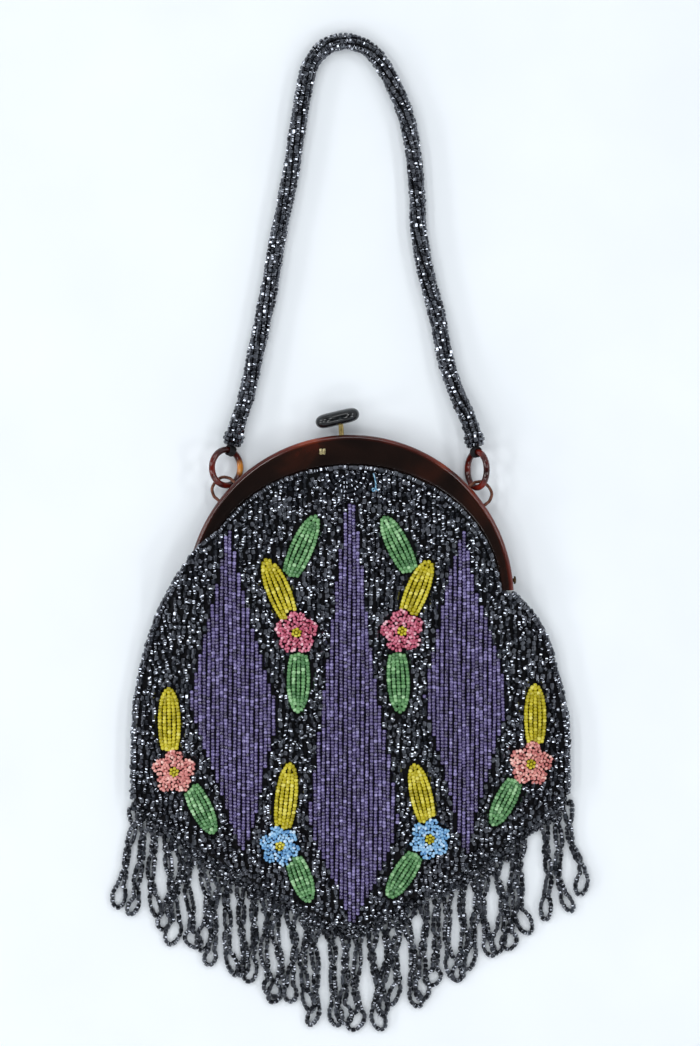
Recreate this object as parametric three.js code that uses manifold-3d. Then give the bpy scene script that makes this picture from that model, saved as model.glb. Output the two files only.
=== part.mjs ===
// A beaded evening purse lying on its back: two beaded panels gathered to a hinged crescent frame, with a
// push clasp, a rope handle of woven bead strings on two rings, and a hem fringe of looped bead strands.
// Millimetres. +X is to the right as the front is seen, +Y runs from the hem to the handle, +Z is up from
// the floor. The origin is on the floor, under the centre of the frame's arc.

import * as THREE from 'three';
import { mergeVertices } from 'three/addons/utils/BufferGeometryUtils.js';
import Module from 'manifold-3d';

const wasm = await Module();
wasm.setup();

// Driving dimensions
const GAP = 0.3; // clearance between neighbouring pieces
const SMALL_TURNED = 12; // sides of a small turned piece

const FRAME = {
  frontRadius: 68, // outer edge of the front half
  backRadius: 65, // the back half is a little smaller, so the rings tuck in under the front rim
  armAngle: 87, // degrees from the top of the arc to the end of an arm
  faceAtTop: 12.6, // width of the face at the top of the crescent
  faceAtArm: 5.2, // width of the face at the end of an arm
  backZ: 1.9, // outer face of the back half
  backRimZ: 6.3, // where the back half's rim stops
  frontRimZ: 6.6, // where the front half's rim starts
  faceZ: 11.2, // outer face of the front half
  plate: 2.2, // thickness of each face
  rim: 2.4, // thickness of each rim, across the arc
  round: 1.8, // rounding between face and rim
  lipWidth: 3, // ledge that the cloth is sewn to
  lipDrop: 1.3, // how far the ledge lies below the face
  stepDegrees: 6,
};

const CLOTH = {
  wall: 2.2, // backing and one layer of beads
  riseWidth: 38, // how far in from the seam the front panel reaches its full height
  frontCell: 8.4, // grid of the swelling front panel
  backCell: 14, // grid of the flat back panel
  gatherHeight: 0.9,
  gatherCount: 9, // gathers round a half turn of the frame
  gatherReach: 13, // how far the gathers run down from the frame
  mouthSteps: 34, // straight stretches along the edges
  seamSteps: 12,
  hemSteps: 21,
};

// Where the frame carries the cloth, and where it no longer does, in the middle and beside the arms
const CARRIED = { near: 11, far: 30, nearAtArm: 9, farAtArm: 18, armStartX: 48, armEndX: 62 };

// On the left the front panel laps over the end of the arm
const LAP = { startAngle: -59, endAngle: -78, reach: 7.4, liftStart: -48, liftEnd: -57 };

// Side seams from the frame down to the corners of the hem
const LEFT_SEAM = [
  { x: -74.3, y: 5.3 },
  { x: -80.5, y: -7.2 },
  { x: -85.1, y: -21.3 },
  { x: -88.8, y: -37.5 },
  { x: -90.5, y: -55 },
  { x: -90.9, y: -83 },
];
const RIGHT_SEAM = [
  { x: 73.5, y: -3 },
  { x: 81.3, y: -14.2 },
  { x: 85.5, y: -27.9 },
  { x: 88.8, y: -40.4 },
  { x: 90.9, y: -56.1 },
  { x: 91.2, y: -81 },
];
const ARM_CORNER = { x: 68.3, y: 2.3 }; // where the cloth comes out from under the end of an arm

// The hem, a shallow V with a slightly full curve near its corners
const HEM = [
  { x: -62.3, y: -104.3 },
  { x: -29.1, y: -124 },
  { x: 0, y: -136.5 },
  { x: 20.8, y: -127.4 },
  { x: 54, y: -109.3 },
  { x: 78.9, y: -90.2 },
];

// Soft rolls of cloth at the shoulders and shallow hollows lower down
const FOLDS = [
  { fromX: 67, fromY: -3, toX: 80, toY: -24, height: 1.1, width: 6 },
  { fromX: -72, fromY: 4, toX: -82, toY: -18, height: 1.1, width: 6 },
  { fromX: 40, fromY: -10, toX: 58, toY: -80, height: -0.7, width: 11 },
  { fromX: -42, fromY: -6, toX: -56, toY: -84, height: -0.7, width: 11 },
  { fromX: -6, fromY: -20, toX: 4, toY: -110, height: 0.6, width: 16 },
];

const EYE = {
  wire: 0.65,
  halfSpan: 5,
  height: 5.9,
  z: 8.05,
  legEnd: -3.3, // inside the frame's rim
  straight: 1.2, // the legs run straight this far out of the rim
  sides: 6,
  steps: 16,
};
const RING = { radius: 7.4, wire: 1.3, sides: 8, segments: 24 };

// Each ring hangs in its eye with its outer side up and its inner side down under the front rim. Angles are
// from the top of the arc; turn is how far the ring stands up, and droop how far its eye bends down
const HANGERS = [
  { name: 'left', side: -1, eyeAngle: -49, droop: 2, ringAngle: -43.4, ringReach: 74.9, turn: 39, tie: 108 },
  { name: 'right', side: 1, eyeAngle: 51, droop: 0.4, ringAngle: 44.6, ringReach: 75.1, turn: 59, tie: 96 },
];

const HINGE = { y: 7.7, z: 6.9, pin: 0.8, head: 1.7, headLength: 1, frontX: 65.3, backX: 62.7, holeEndX: 71 };
const FRONT_LUG = { x: 2, y: 5.6, z: 2.6, middleZ: 6.2 };
const BACK_TONGUE = { x: 1.5, y: 5.6, z: 3.1, middleZ: 7.05 };

const CLASP = {
  angle: -3, // degrees from the top of the arc
  z: 7.65, // clear of the front face and of the back rim
  stem: 1.05,
  knobWidth: 18.2,
  knobThick: 7,
  knobDepth: 10,
  knobAcross: -1.3, // the knob's middle, measured across from the stem
  knobReach: 75.1, // the knob's middle, measured from the centre of the arc
  knobTilt: 12, // degrees, left end low
  socket: 3.4, // how far the stem reaches into the knob
  lugWidth: 8, // the front rim is deeper here, so that the stem can come through it
  lugHeight: 2,
  lugZ: 6,
  footWidth: 5, // the stem's foot, behind the rim
  footThick: 1.2,
  footHeight: 2,
};

const RIVET = { x: -11.4, y: 61, shank: 0.9, head: 1.4 };

const ROPE = { radius: 3.1, sides: 8, steps: 44, collar: 4.1, collarLength: 5.4, loopWire: 0.9, z: 3.3 };

// Middle line of the handle between its two collars; z is given where it rises from the floor to a ring
const ROPE_ROUTE = [
  { x: -46.9, y: 72, z: 4.7 },
  { x: -43.2, y: 83.3, z: 3.8 },
  { x: -39.8, y: 99.1, z: 3.3 },
  { x: -36.5, y: 114.8 },
  { x: -33.2, y: 131.4 },
  { x: -30.3, y: 148.9 },
  { x: -27, y: 164.6 },
  { x: -24.5, y: 177.9 },
  { x: -22.4, y: 192 },
  { x: -19.9, y: 207.8 },
  { x: -16.2, y: 222.2 },
  { x: -9.6, y: 229.8 },
  { x: -0.8, y: 231.6 },
  { x: 7.5, y: 228.5 },
  { x: 13.3, y: 222.3 },
  { x: 18.7, y: 212 },
  { x: 23.2, y: 201.2 },
  { x: 26.1, y: 187 },
  { x: 27.8, y: 169.6 },
  { x: 28.6, y: 152.2 },
  { x: 32, y: 133.9 },
  { x: 36.5, y: 116.5, z: 3.3 },
  { x: 39.8, y: 99.1, z: 3.6 },
  { x: 44.4, y: 85, z: 4.4 },
  { x: 49.6, y: 73.5, z: 6.1 },
];

const FRINGE = {
  count: 31,
  lost: 28, // this strand has come off, counted from the left end, which is 0
  band: 1.5, // radius of the hem band that the strands hang from
  bandClear: 1, // from the edge of the cloth to the band, wide enough for the hem's point
  bandSides: 5,
  bandSteps: 20,
  strand: 3.2, // width of a twisted double strand
  thick: 2.6, // its thickness
  loopWidth: 5.6, // the open loop at the end of a strand
  loopHeight: 8.4,
  loopEdge: 1.8, // width of the bead string round the loop
  loopCorners: 6,
  loopStart: 125, // degrees, where the round of the loop leaves the strand
  loopEnd: 415, // and where it meets it again
  length: 41.5, // hem to the bottom of a loop
  lengthWobble: 2.2,
  lengthTurn: 1.7, // radians of wobble from one strand to the next
  splay: 10, // degrees that the outermost strands lean out
  splayPower: 7, // how soon the lean dies away towards the middle
  leanWobble: 1.2,
  leanTurn: 2.4,
  z: 1.7,
};

// Finishes
const FINISH = {
  beadedCloth: new THREE.MeshStandardMaterial({ color: 0x2b2833, roughness: 0.35, metalness: 0.1 }),
  beadStrings: new THREE.MeshStandardMaterial({ color: 0x1d1d22, roughness: 0.3, metalness: 0.2 }),
  celluloid: new THREE.MeshStandardMaterial({ color: 0x24120f, roughness: 0.25, metalness: 0 }),
  ringCelluloid: new THREE.MeshStandardMaterial({ color: 0x6b2416, roughness: 0.2, metalness: 0 }),
  darkKnob: new THREE.MeshStandardMaterial({ color: 0x26262b, roughness: 0.35, metalness: 0 }),
  brass: new THREE.MeshStandardMaterial({ color: 0xb59a4b, roughness: 0.35, metalness: 1 }),
  bronzeWire: new THREE.MeshStandardMaterial({ color: 0x4d3526, roughness: 0.4, metalness: 0.8 }),
};

// Small helpers
const radians = THREE.MathUtils.degToRad;
const smooth = THREE.MathUtils.smoothstep;
const mix = THREE.MathUtils.lerp;

// A point on the purse's plan, by angle from the top of the arc and distance from its centre
function polar(angle, radius, z = 0) {
  return new THREE.Vector3(radius * Math.sin(radians(angle)), radius * Math.cos(radians(angle)), z);
}

function flatPoints(rows) {
  return rows.map((row) => new THREE.Vector2(row.x, row.y));
}

function polygon(radius, sides) {
  const corners = [];
  for (let i = 0; i < sides; i += 1) {
    const turn = (2 * Math.PI * i) / sides;
    corners.push(new THREE.Vector2(radius * Math.cos(turn), radius * Math.sin(turn)));
  }
  return new THREE.Shape(corners);
}

function tube(path, radius, sides, steps) {
  return new THREE.ExtrudeGeometry(polygon(radius, sides), { extrudePath: path, steps });
}

// Only positions, with shared corners merged
function welded(geometry) {
  const bare = new THREE.BufferGeometry();
  bare.setAttribute('position', geometry.getAttribute('position').clone());
  if (geometry.index) bare.setIndex(geometry.index.clone());
  return mergeVertices(bare, 1e-4);
}

function toSolid(geometry) {
  const bare = welded(geometry);
  const vertProperties = Float32Array.from(bare.getAttribute('position').array);
  const triVerts = Uint32Array.from(bare.index.array);
  return new wasm.Manifold(new wasm.Mesh({ numProp: 3, vertProperties, triVerts }));
}

function toGeometry(solid) {
  const mesh = solid.getMesh();
  const geometry = new THREE.BufferGeometry();
  geometry.setAttribute('position', new THREE.BufferAttribute(Float32Array.from(mesh.vertProperties), 3));
  geometry.setIndex(Array.from(mesh.triVerts));
  return geometry;
}

function joined(geometries) {
  const solids = geometries.map(toSolid);
  return toGeometry(solids.reduce((sum, solid) => sum.add(solid)));
}

function cutBy(geometry, cutters) {
  const whole = toSolid(geometry);
  return toGeometry(cutters.map(toSolid).reduce((rest, cutter) => rest.subtract(cutter), whole));
}

// A round bar between two points
function bar(from, to, radius, sides = 12) {
  return tube(new THREE.LineCurve3(from, to), radius, sides, 1);
}

// A turned piece: rows of [radius, height] from axis to axis, its axis then laid along a direction
function turned(profile, segments, direction, place) {
  const geometry = new THREE.LatheGeometry(flatPoints(profile), segments);
  geometry.applyQuaternion(
    new THREE.Quaternion().setFromUnitVectors(new THREE.Vector3(0, 1, 0), direction.clone().normalize()),
  );
  return geometry.translate(place.x, place.y, place.z);
}

// Joins like sections into one closed skin with flat ends
function loft(sections, flatSection) {
  const count = flatSection.length;
  const last = (sections.length - 1) * count;
  const index = [];
  for (let row = 0; row < sections.length - 1; row += 1) {
    for (let i = 0; i < count; i += 1) {
      const a = row * count + i;
      const b = row * count + ((i + 1) % count);
      index.push(a, a + count, b, b, a + count, b + count);
    }
  }
  THREE.ShapeUtils.triangulateShape(flatSection, []).forEach(([a, b, c]) => {
    index.push(a, b, c, last + c, last + b, last + a);
  });
  const geometry = new THREE.BufferGeometry().setFromPoints(sections.flat());
  geometry.setIndex(index);
  return geometry;
}

// Frame

// Distance from the arc's centre to the inner edge of the frame's face
function faceInner(angle) {
  const across = Math.cos(radians(angle)) ** 2;
  return FRAME.frontRadius - mix(FRAME.faceAtArm, FRAME.faceAtTop, across);
}

// Section of a half: rows of (distance from the arc's centre, height above its outer face, inwards)
function halfSection(angle, outer, depth) {
  const face = faceInner(angle) + GAP;
  const ledge = faceInner(angle) - FRAME.lipWidth;
  const round = FRAME.round;
  return [
    new THREE.Vector2(outer - FRAME.rim, depth),
    new THREE.Vector2(outer - FRAME.rim, FRAME.plate),
    new THREE.Vector2(ledge, FRAME.plate),
    new THREE.Vector2(ledge, FRAME.lipDrop),
    new THREE.Vector2(face, FRAME.lipDrop),
    new THREE.Vector2(face, 0),
    new THREE.Vector2(Math.max(outer - round, face + 0.1), 0),
    new THREE.Vector2(outer - round * 0.3, round * 0.3),
    new THREE.Vector2(outer, round),
    new THREE.Vector2(outer, depth),
  ];
}

// One half swept round the arc. inward is +1 or -1: the way from its outer face to the other half
function frameHalf(outer, faceZ, rimZ, inward) {
  const depth = Math.abs(rimZ - faceZ);
  const steps = Math.round((2 * FRAME.armAngle) / FRAME.stepDegrees);
  const sections = [];
  for (let step = 0; step <= steps; step += 1) {
    const angle = mix(-FRAME.armAngle, FRAME.armAngle, step / steps) * -inward;
    const section = halfSection(angle, outer, depth);
    sections.push(section.map((p) => polar(angle, p.x, faceZ + inward * p.y)));
  }
  return loft(sections, halfSection(FRAME.armAngle, outer, depth));
}

function hingePlace(side, x) {
  return new THREE.Vector3(side * x, HINGE.y, HINGE.z);
}

function hingeHole(side) {
  const inside = hingePlace(side, HINGE.backX - 3);
  return bar(inside, hingePlace(side, HINGE.holeEndX), HINGE.pin + GAP);
}

// Lug of the front half, outside, and tongue of the back half, inside, that a hinge pin goes through
function hingeBlock(size, side, innerX) {
  const geometry = new THREE.BoxGeometry(size.x, size.y, size.z);
  return geometry.translate(side * (innerX + size.x / 2), HINGE.y, size.middleZ);
}

function frontLug(side) {
  return hingeBlock(FRONT_LUG, side, HINGE.frontX);
}

function backTongue(side) {
  return hingeBlock(BACK_TONGUE, side, HINGE.backX);
}

function hingePin(side) {
  const outside = FRAME.frontRadius;
  const inside = HINGE.backX - 4 * GAP; // clear of the back rim too
  const { pin, head, headLength } = HINGE;
  const profile = [
    { x: 0, y: inside - headLength },
    { x: head, y: inside - headLength },
    { x: head, y: inside },
    { x: pin, y: inside },
    { x: pin, y: outside },
    { x: head, y: outside },
    { x: head * 0.75, y: outside + headLength },
    { x: 0, y: outside + headLength },
  ];
  return turned(profile, SMALL_TURNED, new THREE.Vector3(side, 0, 0), hingePlace(0, 0));
}

// Clasp
const claspOut = polar(CLASP.angle, 1);
const claspAcross = polar(CLASP.angle + 90, 1);

function claspPlace(reach, across = 0) {
  const place = claspOut.clone().multiplyScalar(reach).addScaledVector(claspAcross, across);
  return place.setZ(CLASP.z);
}

function claspLug() {
  const lug = new THREE.BoxGeometry(CLASP.lugWidth, FRAME.rim - GAP, CLASP.lugHeight);
  const place = claspPlace(FRAME.frontRadius - FRAME.rim / 2 - GAP / 3);
  return lug.rotateZ(radians(-CLASP.angle)).translate(place.x, place.y, CLASP.lugZ);
}

function knobUnderside() {
  return CLASP.knobReach - CLASP.knobThick / 2;
}

function claspStem() {
  const rimInside = FRAME.frontRadius - FRAME.rim;
  const shaft = bar(claspPlace(rimInside - 1), claspPlace(knobUnderside() + CLASP.socket), CLASP.stem, 14);
  const foot = new THREE.BoxGeometry(CLASP.footWidth, CLASP.footThick, CLASP.footHeight);
  const place = claspPlace(rimInside - 1.5 * GAP - CLASP.footThick / 2);
  return joined([shaft, foot.rotateZ(radians(-CLASP.angle)).translate(place.x, place.y, place.z)]);
}

function claspKnob() {
  const width = CLASP.knobWidth / 2;
  const thick = CLASP.knobThick / 2;
  const profile = [
    { x: 0, y: -thick },
    { x: width * 0.72, y: -thick },
    { x: width * 0.92, y: -thick * 0.75 },
    { x: width, y: -thick * 0.25 },
    { x: width, y: thick * 0.25 },
    { x: width * 0.92, y: thick * 0.75 },
    { x: width * 0.72, y: thick },
    { x: 0, y: thick },
  ];
  const knob = new THREE.LatheGeometry(flatPoints(profile), 20);
  knob.scale(1, 1, CLASP.knobDepth / CLASP.knobWidth).rotateZ(radians(CLASP.knobTilt));
  const place = claspPlace(CLASP.knobReach, CLASP.knobAcross);
  knob.translate(place.x, place.y, place.z);
  const socketEnd = claspPlace(knobUnderside() + CLASP.socket + GAP);
  return cutBy(knob, [bar(claspPlace(FRAME.frontRadius), socketEnd, CLASP.stem + GAP, 14)]);
}

function catchRivet() {
  const under = FRAME.faceZ - FRAME.plate - GAP;
  const over = FRAME.faceZ + GAP;
  const { shank, head } = RIVET;
  const profile = [
    { x: 0, y: under - 0.7 },
    { x: head, y: under - 0.7 },
    { x: head, y: under },
    { x: shank, y: under },
    { x: shank, y: over },
    { x: head, y: over },
    { x: head * 0.8, y: over + 0.45 },
    { x: 0, y: over + 0.6 },
  ];
  return turned(profile, SMALL_TURNED, new THREE.Vector3(0, 0, 1), new THREE.Vector3(RIVET.x, RIVET.y, 0));
}

// Eyes and rings
function eyePlace(hanger, across, out) {
  const sag = hanger.droop * smooth(out, EYE.straight, EYE.height);
  const place = polar(hanger.eyeAngle, FRAME.frontRadius + out, EYE.z - sag);
  return place.add(polar(hanger.eyeAngle + 90, across));
}

function eyeWire(hanger) {
  const { halfSpan, height, legEnd } = EYE;
  const bend = [
    eyePlace(hanger, -halfSpan, legEnd),
    eyePlace(hanger, -halfSpan, 0.5),
    eyePlace(hanger, -halfSpan * 0.97, height * 0.45),
    eyePlace(hanger, -halfSpan * 0.62, height * 0.88),
    eyePlace(hanger, 0, height),
    eyePlace(hanger, halfSpan * 0.62, height * 0.88),
    eyePlace(hanger, halfSpan * 0.97, height * 0.45),
    eyePlace(hanger, halfSpan, 0.5),
    eyePlace(hanger, halfSpan, legEnd),
  ];
  return tube(new THREE.CatmullRomCurve3(bend), EYE.wire, EYE.sides, EYE.steps);
}

function eyeHoles(hanger) {
  return [-EYE.halfSpan, EYE.halfSpan].map((across) =>
    bar(eyePlace(hanger, across, EYE.legEnd - 1), eyePlace(hanger, across, 1), EYE.wire + GAP, 10),
  );
}

// Axes of a ring: out towards its high side, along the purse, and through the ring
function ringAxes(hanger) {
  const tilt = radians(hanger.turn);
  const high = new THREE.Vector3(hanger.side * Math.cos(tilt), 0, Math.sin(tilt));
  const along = new THREE.Vector3(0, 1, 0);
  return { high, along, through: high.clone().cross(along) };
}

function ringCentre(hanger) {
  const height = RING.radius * Math.sin(radians(hanger.turn)) + RING.wire + 0.1;
  return polar(hanger.ringAngle, hanger.ringReach, height);
}

function ringPoint(hanger, degrees, radius = RING.radius) {
  const { high, along } = ringAxes(hanger);
  const place = ringCentre(hanger).addScaledVector(high, radius * Math.cos(radians(degrees)));
  return place.addScaledVector(along, radius * Math.sin(radians(degrees)));
}

function ring(hanger) {
  const { high, along, through } = ringAxes(hanger);
  const geometry = new THREE.TorusGeometry(RING.radius, RING.wire, RING.sides, RING.segments);
  geometry.applyMatrix4(new THREE.Matrix4().makeBasis(high, along, through));
  const centre = ringCentre(hanger);
  return geometry.translate(centre.x, centre.y, centre.z);
}

// Handle

// The loop of bead string that ties the rope to its ring
function tieLoop(hanger) {
  const major = RING.wire + GAP + ROPE.loopWire + 0.1;
  const { through } = ringAxes(hanger);
  const centre = ringPoint(hanger, hanger.tie);
  const out = ringPoint(hanger, hanger.tie, RING.radius + 1).sub(centre);
  const geometry = new THREE.TorusGeometry(major, ROPE.loopWire, 5, 12);
  geometry.applyMatrix4(new THREE.Matrix4().makeBasis(out, through, out.clone().cross(through)));
  return geometry.translate(centre.x, centre.y, centre.z);
}

function ropeStart(hanger) {
  return ringPoint(hanger, hanger.tie, RING.radius + RING.wire + 1);
}

function collar(hanger, next) {
  const start = ropeStart(hanger);
  const way = next.clone().sub(start).normalize();
  const half = ROPE.collarLength / 2;
  const profile = [
    { x: 0, y: -half },
    { x: ROPE.radius, y: -half },
    { x: ROPE.collar, y: -half * 0.5 },
    { x: ROPE.collar, y: half * 0.5 },
    { x: ROPE.radius, y: half },
    { x: 0, y: half },
  ];
  return turned(profile, SMALL_TURNED, way, start.addScaledVector(way, half + 0.4));
}

function handle() {
  const middle = ROPE_ROUTE.map((row) => new THREE.Vector3(row.x, row.y, row.z ?? ROPE.z));
  const [left, right] = HANGERS;
  const route = [ropeStart(left), ...middle, ropeStart(right)];
  const rope = tube(new THREE.CatmullRomCurve3(route), ROPE.radius, ROPE.sides, ROPE.steps);
  const ends = [collar(left, middle[0]), collar(right, middle[middle.length - 1])];
  return joined([rope, ...ends, tieLoop(left), tieLoop(right)]);
}

// Pouch

// Mouth of a panel, from the left arm to the right one; the front panel laps over the left arm
function mouthLine(laps) {
  const pastArm = FRAME.armAngle + 0.4;
  const start = laps ? LAP.endAngle : -pastArm;
  const points = [];
  for (let step = 0; step <= CLOTH.mouthSteps; step += 1) {
    const angle = mix(start, pastArm, step / CLOTH.mouthSteps);
    const lap = laps ? LAP.reach * (1 - smooth(angle, LAP.endAngle, LAP.startAngle)) : 0;
    const place = polar(angle, faceInner(angle) + lap);
    points.push(new THREE.Vector2(place.x, place.y));
  }
  return points;
}

// Seams and hem, from the right arm round to the left one
function seamLine(laps) {
  const leftEnd = laps ? [] : [{ x: -ARM_CORNER.x, y: ARM_CORNER.y }];
  const right = new THREE.SplineCurve(flatPoints([ARM_CORNER, ...RIGHT_SEAM])).getPoints(CLOTH.seamSteps);
  const hem = hemCurve().getPoints(CLOTH.hemSteps).reverse();
  const leftRows = [...leftEnd, ...LEFT_SEAM].reverse();
  const left = new THREE.SplineCurve(flatPoints(leftRows)).getPoints(CLOTH.seamSteps);
  return [...right, ...hem.slice(1, -1), ...left];
}

function hemCurve() {
  const corners = [LEFT_SEAM[LEFT_SEAM.length - 1], ...HEM, RIGHT_SEAM[RIGHT_SEAM.length - 1]];
  return new THREE.SplineCurve(flatPoints(corners));
}

function distanceToLine(x, y, line) {
  let nearest = Infinity;
  for (let i = 0; i < line.length - 1; i += 1) {
    const a = line[i];
    const b = line[i + 1];
    const length = (b.x - a.x) ** 2 + (b.y - a.y) ** 2;
    const along = ((x - a.x) * (b.x - a.x) + (y - a.y) * (b.y - a.y)) / Math.max(length, 1e-9);
    const t = THREE.MathUtils.clamp(along, 0, 1);
    nearest = Math.min(nearest, Math.hypot(x - mix(a.x, b.x, t), y - mix(a.y, b.y, t)));
  }
  return nearest;
}

const ledgeLine = mouthLine(false);
const frontSeam = seamLine(true);

// 1 where the frame's ledge carries the cloth, 0 further down
function carried(x, y) {
  const beside = smooth(Math.abs(x), CARRIED.armStartX, CARRIED.armEndX);
  const near = mix(CARRIED.near, CARRIED.nearAtArm, beside);
  const far = mix(CARRIED.far, CARRIED.farAtArm, beside);
  return 1 - smooth(distanceToLine(x, y, ledgeLine), near, far);
}

function foldHeight(x, y) {
  return FOLDS.reduce((sum, fold) => {
    const line = [new THREE.Vector2(fold.fromX, fold.fromY), new THREE.Vector2(fold.toX, fold.toY)];
    return sum + fold.height * Math.exp(-((distanceToLine(x, y, line) / fold.width) ** 2));
  }, 0);
}

// Outer face of the front panel: it rises from the seams, is carried on the ledge and gathered to it
function frontHeight(x, y) {
  const seamTop = CLOTH.wall + GAP + CLOTH.wall;
  const ledgeTop = FRAME.faceZ - FRAME.lipDrop + GAP + CLOTH.wall;
  const angle = THREE.MathUtils.radToDeg(Math.atan2(x, y));
  const held = carried(x, y);
  const share = Math.min(distanceToLine(x, y, frontSeam) / CLOTH.riseWidth, 1);
  const swell = Math.sin((Math.PI / 2) * share) ** 0.85;
  const rise = 1 - (1 - swell) * (1 - held);
  const overArm = (1 - smooth(angle, LAP.liftEnd, LAP.liftStart)) * (FRAME.lipDrop + GAP / 2);
  const wave = (1 + Math.cos(radians(2 * CLOTH.gatherCount * angle))) / 2;
  const fade = Math.exp(-((distanceToLine(x, y, ledgeLine) / CLOTH.gatherReach) ** 2));
  const soft = (1 - held) * Math.min(share * 3, 1) * foldHeight(x, y);
  return mix(seamTop, ledgeTop, rise) + held * overArm + CLOTH.gatherHeight * wave * fade + soft;
}

// Outer face of the back panel: flat on the floor, raised a little to the frame's back ledge
function backHeight(x, y) {
  const ledgeUnder = FRAME.backZ + FRAME.lipDrop - GAP - CLOTH.wall;
  return ledgeUnder * carried(x, y);
}

// A sheet of cloth one wall thick between two height functions, cut to its outline
function panel(outline, bottomHeight, topHeight, cell) {
  const box = new THREE.Box2().setFromPoints(outline).expandByScalar(cell / 2);
  const size = box.getSize(new THREE.Vector2());
  const middle = box.getCenter(new THREE.Vector2());
  const across = Math.ceil(size.x / cell);
  const along = Math.ceil(size.y / cell);
  const slab = new THREE.BoxGeometry(size.x, size.y, 1, across, along, 1);
  slab.translate(middle.x, middle.y, 0);
  const position = slab.getAttribute('position');
  for (let i = 0; i < position.count; i += 1) {
    const height = position.getZ(i) > 0 ? topHeight : bottomHeight;
    position.setZ(i, height(position.getX(i), position.getY(i)));
  }
  const cutter = new THREE.ExtrudeGeometry(new THREE.Shape(outline), { depth: 40, bevelEnabled: false });
  return toGeometry(toSolid(slab).intersect(toSolid(cutter.translate(0, 0, -10))));
}

function pouchFront() {
  const outline = [...mouthLine(true), ...frontSeam];
  const bottom = (x, y) => frontHeight(x, y) - CLOTH.wall;
  return panel(outline, bottom, frontHeight, CLOTH.frontCell);
}

function pouchBack() {
  const outline = [...mouthLine(false), ...seamLine(false)];
  const top = (x, y) => backHeight(x, y) + CLOTH.wall;
  return panel(outline, backHeight, top, CLOTH.backCell);
}

// Fringe

// Middle of the hem band, just outside the edge of the cloth
function bandPath() {
  const hem = hemCurve();
  const out = FRINGE.band + FRINGE.bandClear;
  const points = [];
  for (let step = 0; step <= FRINGE.bandSteps; step += 1) {
    const place = hem.getPointAt(step / FRINGE.bandSteps);
    const way = hem.getTangentAt(step / FRINGE.bandSteps);
    points.push(new THREE.Vector3(place.x + way.y * out, place.y - way.x * out, FRINGE.z));
  }
  return new THREE.CatmullRomCurve3(points);
}

// Plan of a strand that hangs from the band and opens into a loop at its end
function strandShape(length) {
  const half = FRINGE.strand / 2;
  const middle = FRINGE.loopHeight / 2 - length;
  const round = (halfWidth, halfHeight, from, to) => {
    const points = [];
    for (let i = 0; i <= FRINGE.loopCorners; i += 1) {
      const turn = radians(mix(from, to, i / FRINGE.loopCorners));
      points.push(new THREE.Vector2(halfWidth * Math.cos(turn), middle + halfHeight * Math.sin(turn)));
    }
    return points;
  };
  const outside = round(FRINGE.loopWidth / 2, FRINGE.loopHeight / 2, FRINGE.loopStart, FRINGE.loopEnd);
  const shape = new THREE.Shape([...outside, new THREE.Vector2(half, 0), new THREE.Vector2(-half, 0)]);
  const innerWidth = FRINGE.loopWidth / 2 - FRINGE.loopEdge;
  const innerHeight = FRINGE.loopHeight / 2 - FRINGE.loopEdge;
  shape.holes.push(new THREE.Path(round(innerWidth, innerHeight, 0, 360).slice(1)));
  return shape;
}

function strand(path, number) {
  const share = (number + 0.5) / FRINGE.count;
  const outward = 2 * share - 1;
  const splay = FRINGE.splay * Math.sign(outward) * Math.abs(outward) ** FRINGE.splayPower;
  const lean = radians(splay + FRINGE.leanWobble * Math.sin(FRINGE.leanTurn * number));
  const length = FRINGE.length + FRINGE.lengthWobble * Math.sin(FRINGE.lengthTurn * number + 1);
  const flat = new THREE.ExtrudeGeometry(strandShape(length), { depth: FRINGE.thick, bevelEnabled: false });
  const start = path.getPointAt(share);
  return flat.rotateZ(lean).translate(start.x, start.y, FRINGE.z - FRINGE.thick / 2 - 0.2);
}

function fringe() {
  const path = bandPath();
  const pieces = [tube(path, FRINGE.band, FRINGE.bandSides, FRINGE.bandSteps)];
  for (let number = 0; number < FRINGE.count; number += 1) {
    if (number !== FRINGE.lost) pieces.push(strand(path, number));
  }
  return joined(pieces);
}

// Assembly
function piece(name, geometry, material) {
  const mesh = new THREE.Mesh(geometry, material);
  mesh.name = name;
  return mesh;
}

function frameFront() {
  const half = frameHalf(FRAME.frontRadius, FRAME.faceZ, FRAME.frontRimZ, -1);
  const whole = joined([half, frontLug(-1), frontLug(1), claspLug()]);
  const rivetHole = bar(
    new THREE.Vector3(RIVET.x, RIVET.y, 0),
    new THREE.Vector3(RIVET.x, RIVET.y, FRAME.faceZ + 1),
    RIVET.shank + GAP,
  );
  const stemHole = bar(claspPlace(50), claspPlace(knobUnderside()), CLASP.stem + GAP, 14);
  const holes = [hingeHole(-1), hingeHole(1), rivetHole, stemHole, ...HANGERS.flatMap(eyeHoles)];
  return cutBy(whole, holes);
}

function frameBack() {
  const half = frameHalf(FRAME.backRadius, FRAME.backZ, FRAME.backRimZ, 1);
  return cutBy(joined([half, backTongue(-1), backTongue(1)]), [hingeHole(-1), hingeHole(1)]);
}

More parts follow.
